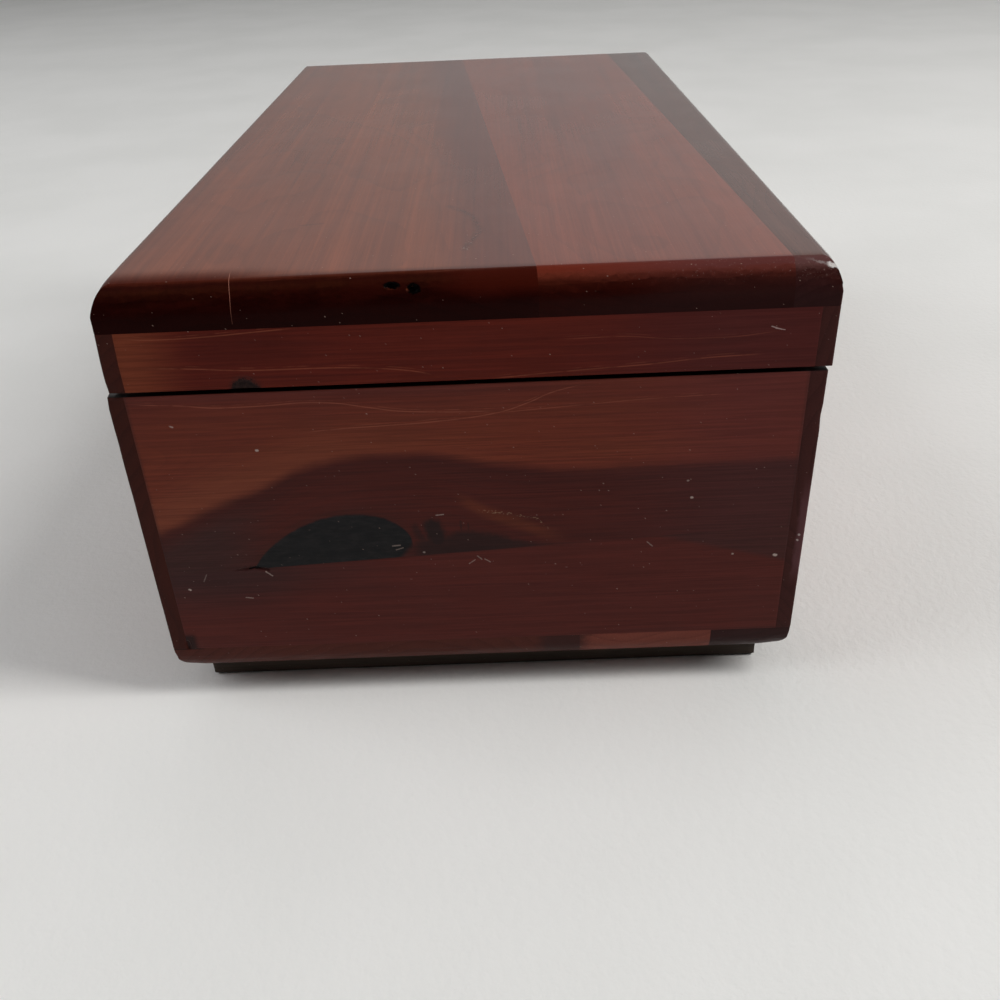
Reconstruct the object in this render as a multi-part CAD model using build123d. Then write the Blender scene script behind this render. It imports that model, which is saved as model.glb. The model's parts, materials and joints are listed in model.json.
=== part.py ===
from build123d import *
import math
import os

# Miniature cedar chest, as separate boards, brass fittings and a working lock.
# Millimetres. +X is the right-hand end (the end seen in the photograph), -Y the
# front with the lock, +Y the back with the hinges, +Z up. The origin is under the
# centre of the closed chest's bounding box, on the surface it stands on.

# ---------------------------------------------------------------- driving sizes
LENGTH = 228.6          # 9 in over the end faces
WIDTH = 125.4           # front face to back face
FOOT_H = 6.35           # runner under each end
BOTTOM_T = 6.35         # bottom boards
RIM_Z = 69.3            # top edge of the body
SAW_GAP = 0.8           # gap between body and closed lid
RAIL_H = 10.9           # lid rails
TOP_T = 7.9             # lid boards
WALL_T = 9.5            # front, back and rails, in Y
END_T = 9.5             # ends, in X
LIP = 3.15              # end grain of the front and back that shows beside each end
LID_SHIFT = 0.6         # the lid sits a little towards the back
TOP_ROUND_IN = 3.2      # round-over of the lid's top edges, measured inwards
TOP_ROUND_DOWN = 6.4    # and measured down the face
BOTTOM_ROUND = 4.4      # round-over of the bottom edges
CORNER_EASE = 0.4       # softened upright corners
ARRIS = 0.12            # eased edge along the saw cut

# glue lines (slightly out of parallel, as the boards were ripped)
END_GLUE_Z0, END_GLUE_SLOPE = 34.25, 0.055      # z at y = 0, and rise per mm of y
TOP_GLUE_1 = (12.9, -4.2)                       # y at the right end, y at the left end
TOP_GLUE_2 = (55.2, 46.9)
BOTTOM_GLUE = (20.0, 46.5)                      # y of the two joints in the bottom

RUNNER_L = 116.0        # along Y
RUNNER_W = 19.0         # along X
RUNNER_INSET = 6.35     # from the end face

# hinges: two small brass butts with a stop
HINGE_X = 66.0
HINGE_LEN = 30.0
KNUCKLES = 5
KNUCKLE_R = 2.0
PIN_R = 0.90
PIN_BORE_R = 0.95
LEAF_T = 0.9
LEAF_IN = 7.6           # how far a leaf reaches in over the wood
KNUCKLE_GAP = 0.15
AXIS_Y = WIDTH / 2 + LID_SHIFT + 0.15 + KNUCKLE_R
AXIS_Z = RIM_Z + SAW_GAP / 2
LUG_R0, LUG_R1 = 2.12, 2.95
OPEN_DEG = 100.0

# lock: half-mortise box lock in the front, link plate under the lid
LOCK_W = 32.0           # case along X
LOCK_D = 6.5            # case in Y
LOCK_H = 22.0           # case in Z
LOCK_WALL = 1.0
EAR_W = 6.0             # selvedge and cover ears past the case
PLUG_Z = 56.0
PLUG_R = 3.0
CAM_PIN_OFF = 2.5
CAM_PIN_R = 0.8
PRONG_X = 8.0
PRONG_T = 1.2
BOLT_TRAVEL = 2 * CAM_PIN_OFF * math.sin(math.radians(45))

HL, HW = LENGTH / 2, WIDTH / 2
UNDER_Z = FOOT_H
FLOOR_Z = FOOT_H + BOTTOM_T
LID_Z = RIM_Z + SAW_GAP
SEAM_Z = LID_Z + RAIL_H
TOP_Z = SEAM_Z + TOP_T
BACK_MOST = AXIS_Y + LUG_R1 * math.sin(math.radians(50))
FRONT_MOST = -HW - 1.5
Y_SHIFT = -(BACK_MOST + FRONT_MOST) / 2         # puts the origin under the middle

os.makedirs("parts", exist_ok=True)


# ---------------------------------------------------------------- small helpers
def block(x0, x1, y0, y1, z0, z1):
    return Pos((x0 + x1) / 2, (y0 + y1) / 2, (z0 + z1) / 2) * Box(x1 - x0, y1 - y0, z1 - z0)


def prism_z(pts, z0, z1):
    face = make_face(Polyline(*[(p[0], p[1], 0) for p in pts], close=True))
    return Pos(0, 0, z0) * extrude(face, amount=z1 - z0, dir=(0, 0, 1))


def prism_x(pts, x0, x1):
    """A closed outline in Y and Z, carried along X."""
    face = make_face(Polyline(*[(0, p[0], p[1]) for p in pts], close=True))
    return Pos(x0, 0, 0) * extrude(face, amount=x1 - x0, dir=(1, 0, 0))


def rod(p, axis, r, length):
    """A round bar from p along +axis."""
    d = {"x": (1, 0, 0), "y": (0, 1, 0), "z": (0, 0, 1)}[axis[-1]]
    s = -1 if axis[0] == "-" else 1
    d = tuple(s * c for c in d)
    return extrude(Plane(origin=p, z_dir=d) * Circle(r), amount=length)


def cone(p, d, r0, r1, length):
    """A straight taper from radius r0 at p to r1 at length along d."""
    pl = Plane(origin=p, z_dir=d)
    return pl * Pos(0, 0, length / 2) * Cone(r0, r1, length)


def profile(hw, z0, z1, low, high):
    """Half-width hw, from z0 to z1. low and high are (inward, along) sizes of the corner
    treatment; a third item "c" makes it a flat chamfer instead of a round."""
    def corner(cx, cz, a, b, start, flat):
        # both end points of the corner, counter-clockwise from `start`
        if flat:
            q = [(cx + a * math.cos(math.radians(t)), cz + b * math.sin(math.radians(t)))
                 for t in (start, start + 90)]
            return [Line(q[0], q[1])]
        return [EllipticalCenterArc((cx, cz), a, b, start, arc_size=90)]
    la, lb, lf = low[0], low[1], len(low) > 2
    ha, hb, hf = high[0], high[1], len(high) > 2
    edges = [Line((hw, z0 + lb), (hw, z1 - hb))]
    edges += corner(hw - ha, z1 - hb, ha, hb, 0, hf)
    edges += [Line((hw - ha, z1), (-hw + ha, z1))]
    edges += corner(-hw + ha, z1 - hb, ha, hb, 90, hf)
    edges += [Line((-hw, z1 - hb), (-hw, z0 + lb))]
    edges += corner(-hw + la, z0 + lb, la, lb, 180, lf)
    edges += [Line((-hw + la, z0), (hw - la, z0))]
    edges += corner(hw - la, z0 + lb, la, lb, 270, lf)
    return make_face(Curve() + edges)


def envelope(z0, z1, low, high, y_mid):
    """The outer shape of the body or lid: two profiles crossed, and softened corners."""
    along = extrude(Plane.YZ * profile(HW, z0, z1, low, high), amount=HL + 2, both=True)
    across = extrude(Plane.XZ * profile(HL, z0, z1, low, high), amount=HW + 2, both=True)
    plan = Pos(0, 0, z0 - 1) * extrude(RectangleRounded(LENGTH, WIDTH, CORNER_EASE), amount=z1 - z0 + 2)
    return Pos(0, y_mid, 0) * (along & across & plan)


def wood_screw(p, d, head_r, shank_r, head_h, length):
    """Slotted countersunk screw: head centre at p, driven along d."""
    pl = Plane(origin=p, z_dir=d)
    s = pl * Pos(0, 0, head_h / 2) * Cone(head_r, shank_r, head_h)
    s += pl * Pos(0, 0, head_h) * Cylinder(shank_r, length - head_h - 1.6, align=(Align.CENTER, Align.CENTER, Align.MIN))
    s += pl * Pos(0, 0, length - 1.6 + 0.8) * Cone(shank_r, 0.15, 1.6)
    s -= pl * Pos(0, 0, head_h * 0.2) * Box(head_r * 2.4, head_r * 0.24, head_h * 0.5)
    return s


def screw_hole(p, d, head_r, shank_r, head_h, length):
    """What a screw needs in the wood or metal round it."""
    pl = Plane(origin=p, z_dir=d)
    h = pl * Pos(0, 0, head_h / 2) * Cone(head_r, shank_r, head_h)
    h += pl * Cylinder(shank_r, length + 0.3, align=(Align.CENTER, Align.CENTER, Align.MIN))
    return h


parts = {}

# ---------------------------------------------------------------- outer shapes
body_env = envelope(UNDER_Z, RIM_Z, (BOTTOM_ROUND, BOTTOM_ROUND), (ARRIS, ARRIS, "c"), 0)
lid_env = envelope(LID_Z, TOP_Z, (ARRIS, ARRIS, "c"), (TOP_ROUND_IN, TOP_ROUND_DOWN), LID_SHIFT)

# ---------------------------------------------------------------- body boards
def long_board(side, z0, z1, y_mid):
    """Front or back board, or lid rail: a rabbet at each end leaves a thin lip."""
    y_out, y_lip, y_in = side * HW, side * (HW - LIP), side * (HW - WALL_T)
    b = block(-HL, HL, min(y_out, y_in), max(y_out, y_in), z0, z1)
    for s in (-1, 1):
        xa, xb = sorted((s * (HL - END_T), s * (HL + 1)))
        ya, yb = sorted((y_lip, y_in - side * 1))
        b -= block(xa, xb, ya, yb, z0 - 1, z1 + 1)
    return Pos(0, y_mid, 0) * b


front = long_board(-1, FLOOR_Z, RIM_Z, 0) & body_env
back = long_board(1, FLOOR_Z, RIM_Z, 0) & body_env


def end_staves(side):
    xa, xb = sorted((side * (HL - END_T), side * HL))
    y = HW - LIP
    zl, zr = END_GLUE_Z0 - END_GLUE_SLOPE * y, END_GLUE_Z0 + END_GLUE_SLOPE * y
    lower = prism_x([(-y, FLOOR_Z), (y, FLOOR_Z), (y, zr), (-y, zl)], xa, xb) & body_env
    upper = prism_x([(-y, zl), (y, zr), (y, RIM_Z), (-y, RIM_Z)], xa, xb) & body_env
    return upper, lower


parts["right_end_upper_stave"], parts["right_end_lower_stave"] = end_staves(1)
parts["left_end_upper_stave"], parts["left_end_lower_stave"] = end_staves(-1)

b_edges = [-HW, BOTTOM_GLUE[0], BOTTOM_GLUE[1], HW]
bottom = [block(-HL, HL, b_edges[i], b_edges[i + 1], UNDER_Z, FLOOR_Z) & body_env for i in range(3)]

# ---------------------------------------------------------------- runners and their screws
def runner(side):
    xa, xb = sorted((side * (HL - RUNNER_INSET), side * (HL - RUNNER_INSET - RUNNER_W)))
    r = block(xa, xb, -RUNNER_L / 2, RUNNER_L / 2, 0, FOOT_H)
    r = chamfer(r.edges().group_by(Axis.Z)[0], 0.6)
    return r


runners = {1: runner(1), -1: runner(-1)}
runner_screws = []
for side in (1, -1):
    x = side * (HL - RUNNER_INSET - RUNNER_W / 2)
    for y in (-42.0, 42.0):
        p, d = (x, y, 0.6), (0, 0, 1)
        runner_screws.append(wood_screw(p, d, 2.7, 1.3, 2.0, 10.5))
        hole = screw_hole(p, d, 2.75, 1.32, 2.0, 10.5) + rod((x, y, -1), "z", 2.75, 1.61)
        runners[side] -= hole
        for i in range(3):
            if b_edges[i] < y < b_edges[i + 1]:
                bottom[i] -= hole
parts["right_runner"], parts["left_runner"] = runners[1], runners[-1]
parts["bottom_front_stave"], parts["bottom_middle_stave"], parts["bottom_back_stave"] = bottom
parts["runner_screws"] = runner_screws

# ---------------------------------------------------------------- lid boards
rail_front = long_board(-1, LID_Z, SEAM_Z, LID_SHIFT) & lid_env
rail_back = long_board(1, LID_Z, SEAM_Z, LID_SHIFT) & lid_env
for side, nm in ((1, "lid_right_rail"), (-1, "lid_left_rail")):
    xa, xb = sorted((side * (HL - END_T), side * HL))
    parts[nm] = block(xa, xb, LID_SHIFT - HW + LIP, LID_SHIFT + HW - LIP, LID_Z, SEAM_Z) & lid_env

yf, yb = LID_SHIFT - HW, LID_SHIFT + HW
g1, g2 = TOP_GLUE_1, TOP_GLUE_2
parts["lid_top_front_stave"] = prism_z([(-HL, yf), (HL, yf), (HL, g1[0]), (-HL, g1[1])], SEAM_Z, TOP_Z) & lid_env
parts["lid_top_middle_stave"] = prism_z([(-HL, g1[1]), (HL, g1[0]), (HL, g2[0]), (-HL, g2[1])], SEAM_Z, TOP_Z) & lid_env
parts["lid_top_back_stave"] = prism_z([(-HL, g2[1]), (HL, g2[0]), (HL, yb), (-HL, yb)], SEAM_Z, TOP_Z) & lid_env

# ---------------------------------------------------------------- hinges
def arc_block(x0, x1, r0, r1, a0, a1):
    """A piece of a ring about the hinge axis; angles from +Z towards the back."""
    n = 8
    ang = [math.radians(a0 + (a1 - a0) * i / n) for i in range(n + 1)]
    outer = [(AXIS_Y + r1 * math.sin(t), AXIS_Z + r1 * math.cos(t)) for t in ang]
    inner = [(AXIS_Y + r0 * math.sin(t), AXIS_Z + r0 * math.cos(t)) for t in reversed(ang)]
    return prism_x(outer + inner, x0, x1)


hinge_screw_dims = (1.9, 0.95, 0.9, 8.5)
body_screws, lid_screws, pins = [], [], []
step = HINGE_LEN / KNUCKLES
for nm, cx in (("left", -HINGE_X), ("right", HINGE_X)):
    x0, x1 = cx - HINGE_LEN / 2, cx + HINGE_LEN / 2
    # leaves: flat plates let in flush with the saw cut
    b_leaf = block(x0, x1, HW - LEAF_IN, AXIS_Y, RIM_Z - LEAF_T, RIM_Z)
    l_leaf = block(x0, x1, HW + LID_SHIFT - LEAF_IN, AXIS_Y, LID_Z, LID_Z + LEAF_T)
    b_edges_in = b_leaf.edges().filter_by(Axis.Z).group_by(Axis.Y)[0]
    l_edges_in = l_leaf.edges().filter_by(Axis.Z).group_by(Axis.Y)[0]
    b_leaf, l_leaf = fillet(b_edges_in, 1.2), fillet(l_edges_in, 1.2)
    b_k, l_k = None, None
    for k in range(KNUCKLES):
        ka, kb = x0 + k * step, x0 + (k + 1) * step
        ea = ka + (KNUCKLE_GAP / 2 if k else 0)
        eb = kb - (KNUCKLE_GAP / 2 if k < KNUCKLES - 1 else 0)
        ring = rod((ea, AXIS_Y, AXIS_Z), "x", KNUCKLE_R, eb - ea)
        # the other leaf is cut away round this knuckle
        room = rod((ka - (0 if k else 1), AXIS_Y, AXIS_Z), "x", KNUCKLE_R + 0.12, step + (1 if k in (0, KNUCKLES - 1) else 0))
        slot = block(ka - (KNUCKLE_GAP / 2 if k else 1), kb + (KNUCKLE_GAP / 2 if k < KNUCKLES - 1 else 1),
                     AXIS_Y - KNUCKLE_R - 0.12, AXIS_Y + 1, AXIS_Z - 3, AXIS_Z + 3)
        if k % 2 == 0:
            l_leaf -= slot
            b_k = ring if b_k is None else b_k + ring
        else:
            b_leaf -= slot
            l_k = ring if l_k is None else l_k + ring
    b_leaf += b_k
    l_leaf += l_k
    # stop lugs: the lid's swings down on to the body's when the lid is open
    l_leaf += arc_block(x0 + step + 0.5, x0 + 4 * step - 0.5, LUG_R0, LUG_R1, 20, 50)
    for k in (1, 3):
        ka = x0 + k * step + 0.5
        l_leaf += arc_block(ka, ka + step - 1.0, 1.5, LUG_R0 + 0.2, 20, 50)
    b_leaf += arc_block(x0 + 2 * step + 0.3, x0 + 3 * step - 0.3, 1.5, LUG_R1, 50 + OPEN_DEG + 1.0, 186)
    bore = rod((x0 - 1, AXIS_Y, AXIS_Z), "x", PIN_BORE_R, HINGE_LEN + 2)
    b_leaf -= bore
    l_leaf -= bore
    pin = rod((x0 + 0.1, AXIS_Y, AXIS_Z), "x", PIN_R, HINGE_LEN - 0.2)
    pins.append(pin)
    # screws, two in each leaf
    yb_s, yl_s = HW - LEAF_IN / 2 - 0.2, HW + LID_SHIFT - LEAF_IN / 2 - 0.2
    b_holes, l_holes = [], []
    for dx in (-9.5, 9.5):
        p, d = (cx + dx, yb_s, RIM_Z), (0, 0, -1)
        body_screws.append(wood_screw(p, d, *hinge_screw_dims))
        b_holes.append(screw_hole(p, d, 1.93, 0.97, 0.9, 8.5))
        p, d = (cx + dx, yl_s, LID_Z), (0, 0, 1)
        lid_screws.append(wood_screw(p, d, *hinge_screw_dims))
        l_holes.append(screw_hole(p, d, 1.93, 0.97, 0.9, 8.5))
    for h in b_holes:
        b_leaf -= h
        back -= h
    for h in l_holes:
        l_leaf -= h
        rail_back -= h
    # mortises in the wood, open at the outside
    mb = fillet(block(x0 - 0.05, x1 + 0.05, HW - LEAF_IN - 0.05, HW + 1, RIM_Z - LEAF_T, RIM_Z + 1)
                .edges().filter_by(Axis.Z).group_by(Axis.Y)[0], 1.2)
    ml = fillet(block(x0 - 0.05, x1 + 0.05, HW + LID_SHIFT - LEAF_IN - 0.05, HW + LID_SHIFT + 1, LID_Z - 1, LID_Z + LEAF_T)
                .edges().filter_by(Axis.Z).group_by(Axis.Y)[0], 1.2)
    back -= mb
    rail_back -= ml
    parts["hinge_%s_body_leaf" % nm] = b_leaf
    parts["hinge_%s_lid_leaf" % nm] = l_leaf
parts["back_board"] = back
parts["lid_back_rail"] = rail_back
parts["hinge_pins"] = pins
parts["hinge_body_screws"] = body_screws
# both top boards are thick enough for the screw tips to stop in the rail
parts["hinge_lid_screws"] = lid_screws

# ---------------------------------------------------------------- lock in the front board
LX = LOCK_W / 2
LY1 = -HW + WALL_T                  # inner face of the front board
LY0 = LY1 - LOCK_D                  # front of the case
LZ1 = RIM_Z
LZ0 = RIM_Z - LOCK_H
cav_y0, cav_y1 = LY0 + LOCK_WALL, LY1 - LOCK_WALL

case = block(-LX, LX, LY0, cav_y1, LZ0, LZ1)
case -= block(-LX + LOCK_WALL, LX - LOCK_WALL, cav_y0, cav_y1 + 1, LZ0 + LOCK_WALL, LZ1 - LOCK_WALL)
case += block(-LX - EAR_W, LX + EAR_W, LY0, LY1, LZ1 - LOCK_WALL, LZ1)          # selvedge
case -= rod((0, LY0 - 1, PLUG_Z), "y", PLUG_R + 0.05, 3)
for s in (-1, 1):                   # slots for the link plate's prongs
    case -= block(s * PRONG_X - 1.05, s * PRONG_X + 1.05, cav_y0, cav_y1 - 0.15, LZ1 - 2, LZ1 + 1)

cover = block(-LX - EAR_W, LX + EAR_W, cav_y1, LY1, LZ0 - 0.0, LZ1 - LOCK_WALL)
cover = fillet(cover.edges().filter_by(Axis.Y).group_by(Axis.Z)[0], 2.0)

lock_hole = block(-LX - 0.05, LX + 0.05, LY0 - 0.02, LY1 + 1, LZ0 - 0.05, LZ1 + 1)
lock_hole += block(-LX - EAR_W - 0.05, LX + EAR_W + 0.05, LY0 - 0.02, LY1 + 1, LZ1 - LOCK_WALL, LZ1 + 1)
lock_hole += fillet(block(-LX - EAR_W - 0.05, LX + EAR_W + 0.05, cav_y1, LY1 + 1, LZ0 - 0.05, LZ1 + 1)
                    .edges().filter_by(Axis.Y).group_by(Axis.Z)[0], 2.0)
front -= lock_hole
front -= rod((0, -HW - 1, PLUG_Z), "y", PLUG_R + 0.08, WALL_T + 2)

case_screws = []
for s in (-1, 1):
    # down through the selvedge
    p, d = (s * (LX + EAR_W / 2), (LY0 + cav_y1) / 2, LZ1), (0, 0, -1)
    case_screws.append(wood_screw(p, d, 1.7, 0.85, 0.9, 8.0))
    h = screw_hole(p, d, 1.73, 0.87, 0.9, 8.0)
    case -= h
    front -= h
    # and forwards through the cover plate
    p, d = (s * (LX + EAR_W / 2), LY1, LZ0 + 5.0), (0, -1, 0)
    case_screws.append(wood_screw(p, d, 1.7, 0.85, 0.9, 6.0))
    h = screw_hole(p, d, 1.73, 0.87, 0.9, 6.0)
    cover -= h
    front -= h
parts["lock_case"] = case
parts["lock_cover_plate"] = cover
parts["lock_case_screws"] = case_screws

# escutcheon: a round rose with two domed pins
rose = rod((0, -HW, PLUG_Z), "-y", 9.0, 0.9)
rose = chamfer(rose.edges().group_by(Axis.Y)[0], 0.5)
rose -= rod((0, -HW - 2, PLUG_Z), "y", PLUG_R + 0.08, 4)
rose_pins = []
for s in (-1, 1):
    x = s * 6.2
    rose -= rod((x, -HW - 2, PLUG_Z), "y", 0.52, 4)
    front -= rod((x, -HW - 2, PLUG_Z), "y", 0.52, 4.7)
    pin = rod((x, -HW - 0.9, PLUG_Z), "y", 0.5, 3.5)
    head = rod((x, -HW - 0.9, PLUG_Z), "-y", 1.1, 0.6)
    head = fillet(head.edges().group_by(Axis.Y)[0], 0.4)
    rose_pins.append(pin + head)
parts["lock_escutcheon"] = rose
parts["escutcheon_pins"] = rose_pins
parts["front_board"] = front

# plug: turns in the case; a cam pin at its inner end moves the bolt
bolt_y0, bolt_y1 = cav_y0 + 1.7, cav_y0 + 2.9
pin_a = math.radians(-45)
px, pz = CAM_PIN_OFF * math.sin(pin_a), PLUG_Z - CAM_PIN_OFF * math.cos(pin_a)
plug = rod((0, -HW - 1.1, PLUG_Z), "y", PLUG_R, (cav_y0 + 0.4) - (-HW - 1.1))
plug += rod((0, cav_y0 + 0.2, PLUG_Z), "y", 4.0, 1.2)
plug += rod((px, cav_y0 + 0.5, pz), "y", CAM_PIN_R, 2.4)
plug = plug - block(-0.55, 0.55, -HW - 2, -HW + 3.6, PLUG_Z - 2.1, PLUG_Z + 2.1)
parts["lock_plug"] = plug

# bolt: a flat bar with two fingers, moved along X
bz0, bz1 = LZ0 + LOCK_WALL + 1.0, PLUG_Z - 0.4
fing_z0, fing_z1 = RIM_Z - 8.0, RIM_Z - 6.0
arm = 1.8                           # each arm passes clear of its prong when the bolt is thrown
arm_a1 = -PRONG_X - PRONG_T / 2 - BOLT_TRAVEL - 0.4
arm_b1 = PRONG_X - PRONG_T / 2 - BOLT_TRAVEL - 0.4
bolt = block(arm_a1 - arm, arm_b1, bolt_y0, bolt_y1, bz0, bz1)
bolt += block(arm_a1 - arm, arm_a1, bolt_y0, bolt_y1, bz0, fing_z1)
bolt += block(arm_a1 - arm, -PRONG_X - PRONG_T / 2 - 0.4, bolt_y0, bolt_y1, fing_z0, fing_z1)
bolt += block(arm_b1 - arm, arm_b1, bolt_y0, bolt_y1, bz0, fing_z1)
bolt += block(arm_b1 - arm, PRONG_X - PRONG_T / 2 - 0.4, bolt_y0, bolt_y1, fing_z0, fing_z1)
slot_w = CAM_PIN_R + 0.12
bolt -= block(px - slot_w, px + slot_w, bolt_y0 - 1, bolt_y1 + 1, PLUG_Z - CAM_PIN_OFF - CAM_PIN_R - 0.15, bz1 + 1)
parts["lock_bolt"] = bolt

# link plate under the lid's front rail, with two prongs and a window in each
link_y0, link_y1 = LY0, LY1
link = block(-LX - EAR_W, LX + EAR_W, link_y0, link_y1, RIM_Z + 0.05, LID_Z + 0.45)
link_pocket = block(-LX - EAR_W - 0.05, LX + EAR_W + 0.05, link_y0 - 0.05, link_y1 + 0.05, LID_Z - 1, LID_Z + 0.45)
bolt_mid = (bolt_y0 + bolt_y1) / 2
for s in (-1, 1):
    x = s * PRONG_X
    prong = block(x - PRONG_T / 2, x + PRONG_T / 2, bolt_mid - 1.75, bolt_mid + 1.75, RIM_Z - 9.6, RIM_Z + 0.3)
    prong -= block(x - 2, x + 2, bolt_mid - 0.95, bolt_mid + 0.95, fing_z0 - 0.5, fing_z1 + 0.5)
    link += prong
link_screws = []
for s in (-1, 1):
    p, d = (s * (LX + EAR_W / 2), (link_y0 + link_y1) / 2, RIM_Z + 0.05), (0, 0, 1)
    link_screws.append(wood_screw(p, d, 1.7, 0.85, 0.9, 9.0))
    h = screw_hole(p, d, 1.73, 0.87, 0.9, 9.0)
    link -= h
    rail_front -= h
rail_front -= link_pocket
parts["lock_link_plate"] = link
parts["link_plate_screws"] = link_screws
parts["lid_front_rail"] = rail_front

# ---------------------------------------------------------------- write one file per piece
for name, shape in parts.items():
    if isinstance(shape, list):
        out = Compound(children=[Pos(0, Y_SHIFT, 0) * s for s in shape])
    else:
        out = Pos(0, Y_SHIFT, 0) * shape
    export_step(out, "parts/%s.step" % name)

print("height", TOP_Z, "y shift", round(Y_SHIFT, 4), "hinge axis y", round(AXIS_Y + Y_SHIFT, 4), "z", AXIS_Z)
print("bolt travel", round(BOLT_TRAVEL, 4), "ratio m/rad", BOLT_TRAVEL / 1000 / (math.pi / 2))
print("plug axis", 0, PLUG_Z, "nodes", len(parts))
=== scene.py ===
import json
import math

import bmesh
import bpy
from mathutils import Matrix, Vector
from mathutils import noise as mnoise

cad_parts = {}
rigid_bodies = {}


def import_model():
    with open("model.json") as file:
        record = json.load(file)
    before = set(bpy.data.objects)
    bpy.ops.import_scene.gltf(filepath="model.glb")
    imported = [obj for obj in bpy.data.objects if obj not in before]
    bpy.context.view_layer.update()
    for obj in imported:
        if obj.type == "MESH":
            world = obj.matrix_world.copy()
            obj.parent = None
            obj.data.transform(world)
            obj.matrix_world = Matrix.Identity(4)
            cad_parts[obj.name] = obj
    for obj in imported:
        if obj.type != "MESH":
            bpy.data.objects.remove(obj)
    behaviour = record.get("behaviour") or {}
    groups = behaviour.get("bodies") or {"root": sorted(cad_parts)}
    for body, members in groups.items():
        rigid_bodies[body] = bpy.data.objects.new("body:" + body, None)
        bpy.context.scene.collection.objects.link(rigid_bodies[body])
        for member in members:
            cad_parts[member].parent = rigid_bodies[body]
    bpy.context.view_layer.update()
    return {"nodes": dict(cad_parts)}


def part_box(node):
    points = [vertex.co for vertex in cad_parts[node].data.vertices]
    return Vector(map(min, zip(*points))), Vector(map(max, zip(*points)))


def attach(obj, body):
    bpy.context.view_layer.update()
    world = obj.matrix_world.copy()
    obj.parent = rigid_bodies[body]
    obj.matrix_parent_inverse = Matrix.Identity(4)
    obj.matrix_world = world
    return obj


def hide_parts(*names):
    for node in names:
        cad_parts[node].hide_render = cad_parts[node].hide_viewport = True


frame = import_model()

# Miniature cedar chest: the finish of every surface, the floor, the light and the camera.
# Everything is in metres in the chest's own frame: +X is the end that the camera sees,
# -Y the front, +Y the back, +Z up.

NODES = frame["nodes"]


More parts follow.
